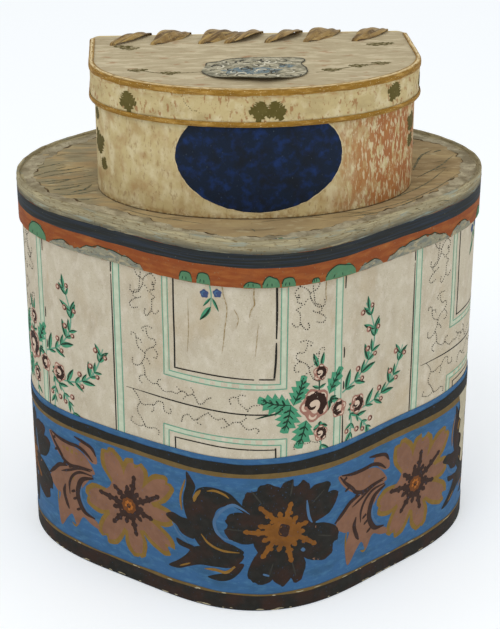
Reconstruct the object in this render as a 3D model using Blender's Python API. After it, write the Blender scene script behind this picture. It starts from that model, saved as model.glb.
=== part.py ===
"""Two stacked pasteboard hat boxes.

The large one is a rounded lozenge with a lift-off lid. The small one stands on that lid, is
D-shaped with a straight back, and its own lid is laced to that back with one ribbon.
Sizes are in millimetres, and the meshes are made in metres.
"""

import math

import bmesh
import bpy
from mathutils import Matrix, Vector

MM = 0.001

# Pasteboard, paper and the spaces between them
WALL_BOARD = 2.4  # pasteboard of the large box's wall and bottom
LID_BOARD = 2.0  # pasteboard of the lids' tops and of the small box
RIM_BOARD = 1.7  # the thinner board bent round as a lid's rim
PAPER = 0.4
BINDING = 0.5  # the folded strip over the small lid's edges
GAP = 0.3  # space between pieces that touch

# Large box, over its printed paper
LARGE_WIDTH = 414.0
LARGE_DEPTH = 373.0
LARGE_BULGE = 11.7  # how far front, back and ends bulge, and the diagonals flatten
LARGE_WALL_HEIGHT = 348.3
BORDER_HEIGHT = 152.0
LARGE_RIM_CLEARANCE = 0.6
LARGE_RIM_DROP = 36.0  # how far the rim reaches down over the wall
LARGE_LIP = 3.0  # how far the rim stands above the sunken top
LIP_CHAMFER = 0.8  # on the outer edge of the paper over the lip
LARGE_FOLD = 12.8  # the top paper folded down outside the rim

# Small box, over its paper
SMALL_WIDTH = 276.4
SMALL_FRONT = 94.1  # depth of the rounded front
SMALL_SIDE = 82.3  # depth of the straight sides, with their back corners
SMALL_CORNER = 10.9
SMALL_BACK = (1.8, 42.6)  # middle of the straight back on the large lid
SMALL_WALL_HEIGHT = 108.8
SMALL_RIM_CLEARANCE = 0.4  # between the rim and the scrap that goes up under it
SMALL_RIM_DROP = 28.0
BINDING_TOP = 3.5  # how far the top binding reaches in over the lid
BINDING_SIDE = 5.0  # and down the rim
BINDING_BEVEL = (1.6, 0.9)  # its turn over the edge, inwards and down
BINDING_LOW = 4.5  # height of the binding round the rim's lower edge

# Pasted scraps
OVAL_WIDTH = 141.2  # round the curved front
OVAL_LEFT = 3.0  # how far its middle is to the left of the front's
OVAL_FOOT = 6.0  # how far its lowest point is above the small box's foot
OVAL_HEAD = 8.8  # and its highest point below the top of the wall, under the lid's rim
CARTOUCHE_WIDTH = 96.0
CARTOUCHE_DEPTH = 68.0
CARTOUCHE_BACK = 83.0  # distance from the straight back to its first edge
CARTOUCHE_BLUNT = 0.8  # 1 is a true oval, less is squarer

# The ribbon that laces the small lid to the back wall
RIBBON_THICK = 0.8
RIBBON_WAIST = 5.0  # gathered in a slit
RIBBON_LEAF = 12.0  # spread out on the lid
STITCH_PLACES = (-0.96, -0.68, -0.35, -0.17, 0.11, 0.38, 0.72)  # share of half the straight back
STITCH_LEAN = 32.0
LID_SLIT_IN = 34.0  # from the straight back to a slit in the lid
WALL_SLIT_DOWN = 13.0  # from the wall's top edge to a slit in the wall
SLIT_LENGTH = RIBBON_WAIST + 2.0
SLIT_WIDTH = 2.4
SLIT_CUT = 20.0  # length of a cutter through a board and its papers
RIBBON_BOW = 1.0  # how high the ribbon bows over the lid
RIBBON_STANDOFF = 2.0  # from the back wall to the middle of the ribbon
RIBBON_SLACK = 2.0  # from the lining to the ribbon where it runs on inside
RIBBON_INTO_SLIT = 2.6  # height in which it turns from the wall into a slit

LARGE_STEPS = 72
FRONT_STEPS = 32
CORNER_STEPS = 5
RIBBON_STEPS = 2
OVAL_STEPS = 24
CARTOUCHE_STEPS = 32

# Heights, from the floor up
LARGE_LID_UNDER = LARGE_WALL_HEIGHT + GAP
LARGE_TOP = LARGE_LID_UNDER + LID_BOARD + GAP + PAPER
LARGE_LIP_TOP = LARGE_TOP + LARGE_LIP
LARGE_RIM_FOOT = LARGE_WALL_HEIGHT - LARGE_RIM_DROP
SMALL_FOOT = LARGE_TOP + GAP
SMALL_WALL_TOP = SMALL_FOOT + SMALL_WALL_HEIGHT
SMALL_LID_UNDER = SMALL_WALL_TOP + GAP
SMALL_BOARD_TOP = SMALL_LID_UNDER + LID_BOARD
SMALL_TOP = SMALL_BOARD_TOP + GAP + PAPER
SMALL_RIM_FOOT = SMALL_WALL_TOP - SMALL_RIM_DROP

# Offsets from the papered walls' outer faces
LARGE_INSIDE = -(PAPER + GAP + WALL_BOARD)
LARGE_RIM_IN = LARGE_RIM_CLEARANCE
LARGE_RIM_OUT = LARGE_RIM_IN + RIM_BOARD
LARGE_LID_OUT = LARGE_RIM_OUT + GAP + PAPER
LARGE_LINING_IN = LARGE_INSIDE - GAP - PAPER
SMALL_INSIDE = -(PAPER + GAP + LID_BOARD)
SMALL_LINING_IN = SMALL_INSIDE - GAP - PAPER
LID_LINING_CLEARANCE = 2 * GAP  # between a lid's lining and the wall's lining round it
SCRAP_OUT = GAP + PAPER
SMALL_RIM_IN = SCRAP_OUT + SMALL_RIM_CLEARANCE
SMALL_RIM_OUT = SMALL_RIM_IN + RIM_BOARD
SMALL_RIM_PAPER = SMALL_RIM_OUT + GAP + PAPER
SMALL_BINDING = SMALL_RIM_PAPER + GAP + BINDING

TAN = (0.42, 0.32, 0.20)
BOARD_GREY = (0.33, 0.27, 0.20)
CREAM = (0.62, 0.56, 0.45)
OCHRE = (0.50, 0.31, 0.08)


def clear_scene():
    for thing in list(bpy.data.objects):
        bpy.data.objects.remove(thing, do_unlink=True)


def material(name, colour, roughness):
    finish = bpy.data.materials.new(name)
    finish.use_nodes = True
    shader = finish.node_tree.nodes["Principled BSDF"]
    shader.inputs["Base Color"].default_value = (*colour, 1.0)
    shader.inputs["Roughness"].default_value = roughness
    shader.inputs["Metallic"].default_value = 0.0
    return finish


# Outlines seen from above, each a list of points at an offset from the papered wall


def large_loop(offset):
    """A closed rounded lozenge, bulging at the front, the back and both ends."""
    middle = (LARGE_WIDTH + LARGE_DEPTH) / 4 - LARGE_BULGE
    stretch = (LARGE_WIDTH - LARGE_DEPTH) / 4
    points = []
    for step in range(LARGE_STEPS):
        turn = 2 * math.pi * step / LARGE_STEPS
        radius = middle + stretch * math.cos(2 * turn) + LARGE_BULGE * math.cos(4 * turn)
        growth = -2 * stretch * math.sin(2 * turn) - 4 * LARGE_BULGE * math.sin(4 * turn)
        out = Vector((math.cos(turn), math.sin(turn)))
        along = Vector((-out.y, out.x)) * radius + out * growth
        normal = Vector((along.y, -along.x)).normalized()
        points.append(out * radius + normal * offset)
    return points


def small_front(offset):
    """An open run: from the left back corner, round the front, to the right back corner."""
    centre = Vector((SMALL_BACK[0], SMALL_BACK[1] - SMALL_SIDE))
    half = SMALL_WIDTH / 2
    ends = Vector((0, SMALL_SIDE - SMALL_CORNER))
    points = [centre + ends + Vector((-half - offset, 0))]
    for step in range(FRONT_STEPS + 1):
        turn = math.pi + math.pi * step / FRONT_STEPS
        point = Vector((half * math.cos(turn), SMALL_FRONT * math.sin(turn)))
        normal = Vector((point.x / half**2, point.y / SMALL_FRONT**2)).normalized()
        points.append(centre + point + normal * offset)
    points.append(centre + ends + Vector((half + offset, 0)))
    return points


def small_loop(offset, back_offset=None):
    """The closed D: the front run, then the two rounded back corners and the straight back."""
    back_offset = offset if back_offset is None else back_offset
    across = SMALL_CORNER + offset
    deep = SMALL_CORNER + back_offset
    corner_x = SMALL_WIDTH / 2 - SMALL_CORNER
    corner_y = SMALL_BACK[1] - SMALL_CORNER
    points = small_front(offset)
    for side, turns in ((1, range(1, CORNER_STEPS + 1)), (-1, range(CORNER_STEPS, 0, -1))):
        for step in turns:
            turn = math.pi / 2 * step / CORNER_STEPS
            x = SMALL_BACK[0] + side * (corner_x + across * math.cos(turn))
            points.append(Vector((x, corner_y + deep * math.sin(turn))))
    return points


# Sheets of board and paper, each given its thickness by a Solidify modifier


def sheet_object(name, shell, thickness, finish):
    bmesh.ops.recalc_face_normals(shell, faces=shell.faces[:])
    mesh = bpy.data.meshes.new(name)
    shell.to_mesh(mesh)
    shell.free()
    mesh.shade_smooth()
    mesh.set_sharp_from_angle(angle=math.radians(30))
    mesh.materials.append(finish)
    piece = bpy.data.objects.new(name, mesh)
    bpy.context.scene.collection.objects.link(piece)
    solid = piece.modifiers.new("thickness", "SOLIDIFY")
    solid.thickness = thickness * MM
    solid.offset = -1.0
    solid.use_even_offset = True
    return piece


def ring(shell, points, height):
    return [shell.verts.new((point.x * MM, point.y * MM, height * MM)) for point in points]


def join_rings(shell, lower, upper, closed):
    count = len(lower)
    for i in range(count if closed else count - 1):
        j = (i + 1) % count
        shell.faces.new((lower[i], lower[j], upper[j], upper[i]))


def hoop(name, outline, profile, thickness, finish, closed=True):
    """A sheet bent round an outline. The profile lists (offset, height), upwards or inwards."""
    shell = bmesh.new()
    rings = [ring(shell, outline(offset), height) for offset, height in profile]
    for lower, upper in zip(rings, rings[1:]):
        join_rings(shell, lower, upper, closed)
    middle = Vector((SMALL_BACK[0], 0, 0)) * MM
    piece = sheet_object(name, shell, thickness, finish)
    first = piece.data.polygons[0]
    if first.normal.dot(first.center - middle) < 0:
        piece.data.flip_normals()
    return piece


def tray(name, outline, profile, thickness, finish, upward):
    """A flat sheet with its edge turned along a profile. The sheet is filled at the last ring."""
    shell = bmesh.new()
    rings = [ring(shell, outline(offset), height) for offset, height in profile]
    for lower, upper in zip(rings, rings[1:]):
        join_rings(shell, lower, upper, True)
    shell.faces.new(rings[-1])
    piece = sheet_object(name, shell, thickness, finish)
    flat = piece.data.polygons[-1]
    if (flat.normal.z > 0) != upward:
        piece.data.flip_normals()
    return piece


def board(name, points, foot, thickness, finish):
    """A flat board or sheet, from its foot up."""
    return tray(name, lambda _: points, [(0, foot + thickness)], thickness, finish, True)


def box_cutter(name, boxes):
    """One wire cutter made of boxes, each given as its centre and its size."""
    shell = bmesh.new()
    for centre, size in boxes:
        place = Matrix.Translation(Vector(centre) * MM) @ Matrix.Diagonal((*(Vector(size) * MM), 1))
        bmesh.ops.create_cube(shell, size=1.0, matrix=place)
    mesh = bpy.data.meshes.new(name)
    shell.to_mesh(mesh)
    shell.free()
    cutter = bpy.data.objects.new(name, mesh)
    bpy.context.scene.collection.objects.link(cutter)
    cutter.hide_render = True
    cutter.display_type = "WIRE"
    return cutter


def cut(piece, cutter):
    slit = piece.modifiers.new("slits", "BOOLEAN")
    slit.operation = "DIFFERENCE"
    slit.solver = "EXACT"
    slit.object = cutter


def pivot(name, place, parent=None):
    empty = bpy.data.objects.new(name, None)
    empty.empty_display_size = 0.03
    bpy.context.scene.collection.objects.link(empty)
    if parent:
        empty.parent = parent[0]
    above = parent[1] if parent else Vector()
    empty.location = (Vector(place) - above) * MM
    return empty, Vector(place)


def hang(pieces, body):
    """Parents pieces to a body's empty, and keeps them where they are."""
    empty, place = body
    for piece in pieces:
        piece.parent = empty
        piece.location = -place * MM


# The large box


def large_box():
    paper_board = material("grey pasteboard", BOARD_GREY, 0.85)
    wall_out = -(PAPER + GAP)
    bottom_out = LARGE_INSIDE - GAP
    lining_foot = WALL_BOARD + GAP + PAPER
    paper_foot = GAP
    return [
        hoop(
            "large_wall",
            large_loop,
            [(wall_out, 0), (wall_out, LARGE_WALL_HEIGHT)],
            WALL_BOARD,
            paper_board,
        ),
        board("large_bottom", large_loop(bottom_out), 0, WALL_BOARD, paper_board),
        hoop(
            "large_wall_paper",
            large_loop,
            [(0, paper_foot), (0, LARGE_WALL_HEIGHT)],
            PAPER,
            material("block-printed wallpaper", CREAM, 0.8),
        ),
        hoop(
            "large_border_paper",
            large_loop,
            [(SCRAP_OUT, paper_foot), (SCRAP_OUT, BORDER_HEIGHT)],
            PAPER,
            material("blue border paper", (0.12, 0.22, 0.42), 0.75),
        ),
        tray(
            "large_lining",
            large_loop,
            [(LARGE_LINING_IN, LARGE_WALL_HEIGHT), (LARGE_LINING_IN, lining_foot)],
            -PAPER,
            material("plain lining paper", (0.55, 0.48, 0.36), 0.9),
            True,
        ),
    ]


def large_lid():
    lid_board = material("lid pasteboard", BOARD_GREY, 0.85)
    rim_top = LARGE_LIP_TOP - GAP - PAPER
    fold_foot = LARGE_LIP_TOP - LARGE_FOLD
    lip_in = LARGE_RIM_IN - GAP
    under = LARGE_LID_UNDER - GAP
    return [
        hoop(
            "large_lid_rim",
            large_loop,
            [(LARGE_RIM_OUT, LARGE_RIM_FOOT), (LARGE_RIM_OUT, rim_top)],
            RIM_BOARD,
            lid_board,
        ),
        board("large_lid_board", large_loop(lip_in), LARGE_LID_UNDER, LID_BOARD, lid_board),
        tray(
            "large_lid_paper",
            large_loop,
            [
                (LARGE_LID_OUT, fold_foot),
                (LARGE_LID_OUT, LARGE_LIP_TOP - LIP_CHAMFER),
                (LARGE_LID_OUT - LIP_CHAMFER, LARGE_LIP_TOP),
                (lip_in - PAPER, LARGE_LIP_TOP),
                (lip_in - PAPER, LARGE_TOP),
            ],
            PAPER,
            material("aged top paper", TAN, 0.85),
            True,
        ),
        hoop(
            "large_lid_rim_paper",
            large_loop,
            [(LARGE_LID_OUT, LARGE_RIM_FOOT), (LARGE_LID_OUT, fold_foot - GAP)],
            PAPER,
            material("striped rim paper", (0.38, 0.14, 0.06), 0.8),
        ),
        board(
            "large_lid_lining",
            large_loop(LARGE_LINING_IN - LID_LINING_CLEARANCE),
            under - PAPER,
            PAPER,
            material("lid lining paper", (0.55, 0.48, 0.36), 0.9),
        ),
    ]


# The small box


def surface_oval():
    """A flat oval scrap wrapped on the small box's rounded front."""
    oval_height = SMALL_WALL_HEIGHT - OVAL_FOOT - OVAL_HEAD
    middle_height = SMALL_FOOT + OVAL_FOOT + oval_height / 2
    half = SMALL_WIDTH / 2
    centre_y = SMALL_BACK[1] - SMALL_SIDE
    shell = bmesh.new()

    def on_wall(across, height):
        turn = 1.5 * math.pi + (across - OVAL_LEFT) / half
        point = Vector((half * math.cos(turn), SMALL_FRONT * math.sin(turn)))
        normal = Vector((point.x / half**2, point.y / SMALL_FRONT**2)).normalized()
        flat = point + normal * SCRAP_OUT
        x, y = flat.x + SMALL_BACK[0], flat.y + centre_y
        return shell.verts.new((x * MM, y * MM, height * MM))

    rows = []
    for step in range(1, OVAL_STEPS):
        turn = math.pi * step / OVAL_STEPS
        across = -OVAL_WIDTH / 2 * math.cos(turn)
        rise = oval_height / 2 * math.sin(turn)
        rows.append([on_wall(across, middle_height + share * rise) for share in (-1, -0.5, 0, 0.5, 1)])
    for left, right in zip(rows, rows[1:]):
        for low in range(4):
            shell.faces.new((left[low], right[low], right[low + 1], left[low + 1]))
    for side, row in ((-1, rows[0]), (1, rows[-1])):
        tip = on_wall(side * OVAL_WIDTH / 2, middle_height)
        for low in range(4):
            shell.faces.new((tip, row[low], row[low + 1]))
    blue = material("dark blue scrap paper", (0.01, 0.02, 0.11), 0.7)
    oval = sheet_object("small_front_oval", shell, PAPER, blue)
    if oval.data.polygons[0].normal.y > 0:
        oval.data.flip_normals()
    return oval


def small_box(wall_slits):
    small_board = material("small box pasteboard", BOARD_GREY, 0.85)
    wall_out = -(PAPER + GAP)
    lining_foot = SMALL_FOOT + LID_BOARD + GAP + PAPER
    wall = hoop(
        "small_wall",
        small_loop,
        [(wall_out, SMALL_FOOT), (wall_out, SMALL_WALL_TOP)],
        LID_BOARD,
        small_board,
    )
    paper = hoop(
        "small_wall_paper",
        small_loop,
        [(0, SMALL_FOOT + GAP), (0, SMALL_WALL_TOP)],
        PAPER,
        material("worn cream paper", CREAM, 0.8),
    )
    lining = tray(
        "small_lining",
        small_loop,
        [(SMALL_LINING_IN, SMALL_WALL_TOP), (SMALL_LINING_IN, lining_foot)],
        -PAPER,
        material("small lining paper", (0.55, 0.48, 0.36), 0.9),
        True,
    )
    for piece in (wall, paper, lining):
        cut(piece, wall_slits)
    bottom = board("small_bottom", small_loop(SMALL_INSIDE - GAP), SMALL_FOOT, LID_BOARD, small_board)
    return [wall, bottom, paper, lining, surface_oval()]


def cartouche():
    """A flat scrap pasted on the small lid, wider than deep, with blunt corners."""
    centre = Vector((SMALL_BACK[0], SMALL_BACK[1] - CARTOUCHE_BACK - CARTOUCHE_DEPTH / 2))
    points = []
    for step in range(CARTOUCHE_STEPS):
        turn = 2 * math.pi * step / CARTOUCHE_STEPS
        along, deep = math.cos(turn), math.sin(turn)
        x = CARTOUCHE_WIDTH / 2 * math.copysign(abs(along) ** CARTOUCHE_BLUNT, along)
        y = CARTOUCHE_DEPTH / 2 * math.copysign(abs(deep) ** CARTOUCHE_BLUNT, deep)
        points.append(centre + Vector((x, y)))
    scrap = material("grey printed scrap", (0.30, 0.34, 0.34), 0.75)
    return board("small_lid_cartouche", points, SMALL_TOP + GAP, PAPER, scrap)


def small_lid(lid_slits):
    lid_board = material("small lid pasteboard", BOARD_GREY, 0.85)
    ochre = material("ochre binding", OCHRE, 0.7)
    top = board(
        "small_lid_board",
        small_loop(SMALL_RIM_IN - GAP, 0),
        SMALL_LID_UNDER,
        LID_BOARD,
        lid_board,
    )
    paper = board(
        "small_lid_paper",
        small_loop(SMALL_RIM_OUT - PAPER, 0),
        SMALL_TOP - PAPER,
        PAPER,
        material("streaked lid paper", TAN, 0.85),
    )
    lining = board(
        "small_lid_lining",
        small_loop(SMALL_LINING_IN - LID_LINING_CLEARANCE),
        SMALL_LID_UNDER - GAP - PAPER,
        PAPER,
        material("small lid lining", (0.55, 0.48, 0.36), 0.9),
    )
    for piece in (top, paper, lining):
        cut(piece, lid_slits)
    rim = hoop(
        "small_lid_rim",
        small_front,
        [(SMALL_RIM_OUT, SMALL_RIM_FOOT), (SMALL_RIM_OUT, SMALL_BOARD_TOP)],
        RIM_BOARD,
        lid_board,
        closed=False,
    )
    rim_paper = hoop(
        "small_lid_rim_paper",
        small_front,
        [(SMALL_RIM_PAPER, SMALL_RIM_FOOT), (SMALL_RIM_PAPER, SMALL_BOARD_TOP)],
        PAPER,
        material("rim paper", CREAM, 0.8),
        closed=False,
    )
    upper = SMALL_TOP + GAP + BINDING
    bevel_in, bevel_down = BINDING_BEVEL
    top_binding = hoop(
        "small_lid_top_binding",
        small_front,
        [
            (SMALL_BINDING, SMALL_TOP - BINDING_SIDE),
            (SMALL_BINDING, upper - bevel_down - GAP),
            (SMALL_BINDING - bevel_in, upper),
            (SMALL_BINDING - bevel_in - BINDING_TOP, upper),
        ],
        BINDING,
        ochre,
        closed=False,
    )
    low_binding = hoop(
        "small_lid_low_binding",
        small_front,
        [(SMALL_BINDING, SMALL_RIM_FOOT), (SMALL_BINDING, SMALL_RIM_FOOT + BINDING_LOW)],
        BINDING,
        ochre,
        closed=False,
    )
    return [top, paper, lining, rim, rim_paper, top_binding, low_binding, cartouche()]


# The lacing


def stitch_starts():
    half = SMALL_WIDTH / 2 - SMALL_CORNER
    return [SMALL_BACK[0] + place * half for place in STITCH_PLACES]


def slit_cutters():
    back = SMALL_BACK[1]
    lid = []
    wall = []
    for start in stitch_starts():
        place = (start, back - LID_SLIT_IN, SMALL_LID_UNDER)
        lid.append((place, (SLIT_LENGTH, SLIT_WIDTH, SLIT_CUT)))
        place = (start + STITCH_LEAN, back, SMALL_WALL_TOP - WALL_SLIT_DOWN)
        wall.append((place, (SLIT_LENGTH, SLIT_CUT, SLIT_WIDTH)))
    return box_cutter("lid_slit_cutter", lid), box_cutter("wall_slit_cutter", wall)


def stitch_points(start, following):
    """One turn of the lacing: (place, width), from under the lid, over the back and in again."""
    back = SMALL_BACK[1]
    slit_y = back - LID_SLIT_IN
    slit_z = SMALL_WALL_TOP - WALL_SLIT_DOWN
    above = SMALL_TOP + RIBBON_THICK + RIBBON_BOW
    end = start + STITCH_LEAN
    behind = back + RIBBON_STANDOFF
    inside = back + SMALL_LINING_IN - RIBBON_SLACK

    def over(share, width):
        place = (start + share * STITCH_LEAN, slit_y + share * LID_SLIT_IN, above)
        return place, width * RIBBON_LEAF

    turn = [
        ((start, slit_y, SMALL_LID_UNDER - RIBBON_BOW), RIBBON_WAIST),
        ((start, slit_y, SMALL_TOP), RIBBON_WAIST),
        ((start + RIBBON_STANDOFF, slit_y + RIBBON_STANDOFF, above), RIBBON_WAIST),
        over(0.3, 0.9),
        over(0.55, 1.0),
        over(0.85, 0.8),
        over(0.98, 0.65),
        ((end, behind, SMALL_TOP - RIBBON_THICK), 0.6 * RIBBON_LEAF),
        ((end, behind, SMALL_WALL_TOP - RIBBON_WAIST / 2), 0.5 * RIBBON_LEAF),
        ((end, behind, slit_z + RIBBON_INTO_SLIT), RIBBON_WAIST),
        ((end, behind - RIBBON_BOW, slit_z), RIBBON_WAIST),
        ((end, inside + RIBBON_BOW, slit_z), RIBBON_WAIST),
        ((end, inside - RIBBON_BOW, slit_z), RIBBON_WAIST),
    ]
    if following is not None:
        middle = (end + following) / 2
        low = (slit_z + SMALL_WALL_TOP) / 2 - RIBBON_SLACK
        turn.append(((middle, (inside + slit_y) / 2, low), 1.2 * RIBBON_WAIST))
        turn.append(((following, slit_y, SMALL_WALL_TOP - 2 * RIBBON_SLACK), RIBBON_WAIST))
    return turn


def smooth_run(stations):
    """Points and widths on a smooth curve through the stations."""
    padded = [stations[0], *stations, stations[-1]]
    run = []
    for before, near, far, after in zip(padded, padded[1:], padded[2:], padded[3:]):
        for step in range(RIBBON_STEPS):
            t = step / RIBBON_STEPS
            place = Vector()
            shares = (
                (-0.5 * t + t**2 - 0.5 * t**3, before),
                (1 - 2.5 * t**2 + 1.5 * t**3, near),
                (0.5 * t + 2 * t**2 - 1.5 * t**3, far),
                (-0.5 * t**2 + 0.5 * t**3, after),
            )
            for share, station in shares:
                place += share * Vector(station[0])
            run.append((place, near[1] * (1 - t) + far[1] * t))
    run.append((Vector(stations[-1][0]), stations[-1][1]))
    return run


def ribbon():
    """One flat ribbon wound through all the slits, gathered in each slit and spread between."""
    starts = stitch_starts()
    stations = []
    for start, following in zip(starts, starts[1:] + [None]):
        stations += stitch_points(start, following)
    run = smooth_run(stations)
    shell = bmesh.new()
    edges = []
    for i, (place, width) in enumerate(run):
        along = (run[min(i + 1, len(run) - 1)][0] - run[max(i - 1, 0)][0]).normalized()
        outward = Vector((0, -along.z, along.y)).normalized()
        across = along.cross(outward).normalized() * width / 2
        edges.append([shell.verts.new((place + side * across) * MM) for side in (-1, 0, 1)])
    for near, far in zip(edges, edges[1:]):
        for side in (0, 1):
            shell.faces.new((near[side], near[side + 1], far[side + 1], far[side]))
    finish = material("tan silk ribbon", (0.33, 0.24, 0.13), 0.6)
    piece = sheet_object("hinge_ribbon", shell, RIBBON_THICK, finish)
    piece.modifiers["thickness"].offset = 0.0
    piece.modifiers["thickness"].use_even_offset = False
    return piece


def main():
    clear_scene()
    lid_slits, wall_slits = slit_cutters()
    floor = pivot("large_box_frame", (0, 0, 0))
    lifted_lid = pivot("large_lid_slide", (0, 0, LARGE_RIM_FOOT), floor)
    lifted_box = pivot("small_box_slide", (*SMALL_BACK, SMALL_FOOT), lifted_lid)
    hinge = pivot("small_lid_hinge", (*SMALL_BACK, SMALL_WALL_TOP + GAP / 2), lifted_box)
    hang(large_box(), floor)
    hang(large_lid(), lifted_lid)
    hang([*small_box(wall_slits), ribbon(), wall_slits], lifted_box)
    hang([*small_lid(lid_slits), lid_slits], hinge)


main()
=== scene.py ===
"""Two papered pasteboard hat boxes, the small one standing on the lid of the large one.

Sizes in the working functions are millimetres. A printed pattern is drawn flat, as outlines in
a run round the box (u) and a height (v), and is then laid on its wall or lid as a thin coat.
"""

import math
import random

import bmesh
import bpy
import numpy as np
from bpy.props import FloatProperty, FloatVectorProperty, IntProperty, PointerProperty
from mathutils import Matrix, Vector


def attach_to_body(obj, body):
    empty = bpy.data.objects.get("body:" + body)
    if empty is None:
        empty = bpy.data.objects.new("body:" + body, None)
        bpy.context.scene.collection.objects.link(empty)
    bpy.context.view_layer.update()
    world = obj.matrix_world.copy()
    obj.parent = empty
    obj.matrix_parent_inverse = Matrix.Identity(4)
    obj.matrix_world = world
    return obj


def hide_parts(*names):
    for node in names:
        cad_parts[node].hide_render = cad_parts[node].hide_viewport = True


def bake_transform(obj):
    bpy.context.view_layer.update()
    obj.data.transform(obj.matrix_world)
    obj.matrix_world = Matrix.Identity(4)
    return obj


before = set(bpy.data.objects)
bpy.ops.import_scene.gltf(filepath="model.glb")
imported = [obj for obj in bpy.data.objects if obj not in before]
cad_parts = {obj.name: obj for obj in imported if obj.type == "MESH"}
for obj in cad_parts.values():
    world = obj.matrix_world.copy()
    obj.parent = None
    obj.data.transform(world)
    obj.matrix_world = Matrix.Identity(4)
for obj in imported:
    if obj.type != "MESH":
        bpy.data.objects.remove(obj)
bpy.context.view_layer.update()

bl_info = {
    "name": "Papered Hat Boxes",
    "version": (1, 0, 0),
    "blender": (4, 5, 0),
    "location": "3D View > Sidebar > Hat Boxes",
    "description": "Papers, prints and laces two stacked pasteboard hat boxes",
    "category": "Add Mesh",
}

MM = 0.001
PAPER = 0.4  # thickness of a pasted paper
COAT = 0.05  # thickness of one printed coat of colour
LAP = 5.0  # how far a wrapped paper's ends lie over each other at the back
SEAM_MARGIN = 0.5  # how far a print stays away from the seam
STRIPE_PAST = 1.0  # and how far a stripe is drawn beyond it before it is cut
STRIPE_STEP = 4.0  # from point to point along a stripe's edge
LONG_WAVE, SHORT_WAVE = 23.0, 23.0 * 0.31  # the two waves by which a stripe's edge wanders
BORDER_TOP = 153.4  # middle height of the border paper's top edge
WALL_COATS = (0.06, 0.022)  # lift of the wallpaper's first coat, and from coat to coat
BORDER_COATS = (0.08, 0.025)  # the same for the border paper
BORDER_COVERS = 141.0  # the border paper hides the wallpaper's print below this height

# Heights and offsets of the papers, as the boards under them give them
LARGE_TOP = 351.3
LARGE_LIP_TOP = 354.3
LARGE_RIM_FOOT = 312.3
FOLD_FOOT = 341.5
WALL_OUT = 0.0
BORDER_OUT = 0.7
LARGE_RIM_OUT = 3.0
SMALL_FOOT = 351.6
SMALL_WALL_TOP = 460.4
SMALL_LID_UNDER = 460.7
SMALL_TOP = 463.4
SMALL_RIM_FOOT = 432.4
SMALL_PAPER_OUT = 0.0
SMALL_RIM_OUT = 3.5
LID_REACH = np.array([207.0, 186.0])  # from the middle of the large lid's top to its lip
BACK_Y = 42.6  # the small box's straight back
BACK_X = 1.8  # and the middle of it
SCRAP_CURL = 3.4  # how high the printed scrap's front edge curls up


def linear(code):
    """An sRGB hex colour as linear values."""
    parts = [int(code[place : place + 2], 16) / 255 for place in (1, 3, 5)]
    return tuple(p / 12.92 if p <= 0.04045 else ((p + 0.055) / 1.055) ** 2.4 for p in parts)


def as_colour(given):
    """Linear values of a hex code, or of a colour that is linear already."""
    return linear(given) if isinstance(given, str) else tuple(given)[:3]


def length_of(label, about, millimetres):
    return FloatProperty(name=label, description=about, default=millimetres * MM, unit="LENGTH")


def colour_of(label, about, code):
    return FloatVectorProperty(
        name=label, description=about, default=linear(code), size=3, min=0, max=1, subtype="COLOR"
    )


class HatBoxSizes(bpy.types.PropertyGroup):
    """Sizes of the two boxes and of their printed patterns."""

    large_width: length_of("Large width", "Large box, end to end", 414.0)
    large_depth: length_of("Large depth", "Large box, front to back", 373.0)
    large_bulge: length_of("Bulge", "How far the front, back and ends bulge", 11.7)
    wall_height: length_of("Wall height", "Height of the large box's wall", 348.3)
    small_width: length_of("Small width", "Small box, side to side", 276.4)
    small_front: length_of("Small front", "Depth of the small box's rounded front", 94.1)
    small_side: length_of("Small side", "Depth of its straight sides", 82.3)
    small_corner: length_of("Small corner", "Radius of its two back corners", 10.9)
    repeat: length_of("Repeat", "Width of one repeat of the printed papers", 303.5)
    dot_spacing: length_of("Dot spacing", "Space from dot to dot in the scrolls", 2.05)
    dot_size: length_of("Dot size", "Width of a printed dot", 1.4)
    seed: IntProperty(name="Seed", description="Seed of every random choice", default=7)


class HatBoxColours(bpy.types.PropertyGroup):
    """Colours of the papers, of the prints on them, and of the ribbon."""

    wallpaper: colour_of("Wallpaper", "Ground of the wallpaper", "#bcb29c")
    mint: colour_of("Mint", "Pale wash between the green lines", "#b2baa2")
    line_green: colour_of("Line green", "Lines of the panels", "#64917a")
    leaf_green: colour_of("Leaf green", "Leaves of the sprays", "#3f8463")
    leaf_dark: colour_of("Leaf dark", "Veins and shadows of leaves", "#10301f")
    black: colour_of("Black", "Black lines and bands", "#1b1913")
    rose: colour_of("Rose", "Outer petals of the roses", "#93695a")
    rose_pale: colour_of("Pale rose", "Light inside a rose", "#c3ad98")
    rose_dark: colour_of("Dark rose", "Shadow of a rose", "#2a1408")
    blue_flower: colour_of("Blue flower", "Small blue flowers", "#38466a")
    border_blue: colour_of("Border blue", "Ground of the border", "#315a82")
    ochre: colour_of("Ochre", "Petal edges and stripes", "#755a24")
    mauve: colour_of("Mauve", "Petals of the mauve flower", "#75533f")
    brown: colour_of("Brown", "Stamens and foot band", "#301d14")
    dark_petal: colour_of("Dark petal", "Petals of the dark flower", "#1c1a15")
    orange: colour_of("Orange", "Hearts of the flowers", "#65380f")
    top_paper: colour_of("Top paper", "Aged paper on the large lid", "#a38c65")
    rust: colour_of("Rust", "Rust orange band", "#82411a")
    cream: colour_of("Cream", "Paper of the small box", "#bba97a")
    lid_grey: colour_of("Lid grey", "Streaked paper on the small lid", "#b9aa88")
    olive: colour_of("Olive", "Sprigs on the small box", "#544a1c")
    navy: colour_of("Navy", "Oval on the small box's front", "#05172c")
    binding: colour_of("Binding", "Ochre binding strips", "#8a641a")
    ribbon: colour_of("Ribbon", "Old silk ribbon", "#9b7d48")
    board: colour_of("Board", "Bare pasteboard", "#8a7a5e")
    lining: colour_of("Lining", "Plain lining paper", "#b7a988")


def sizes():
    return bpy.context.scene.hat_box_sizes


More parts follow.
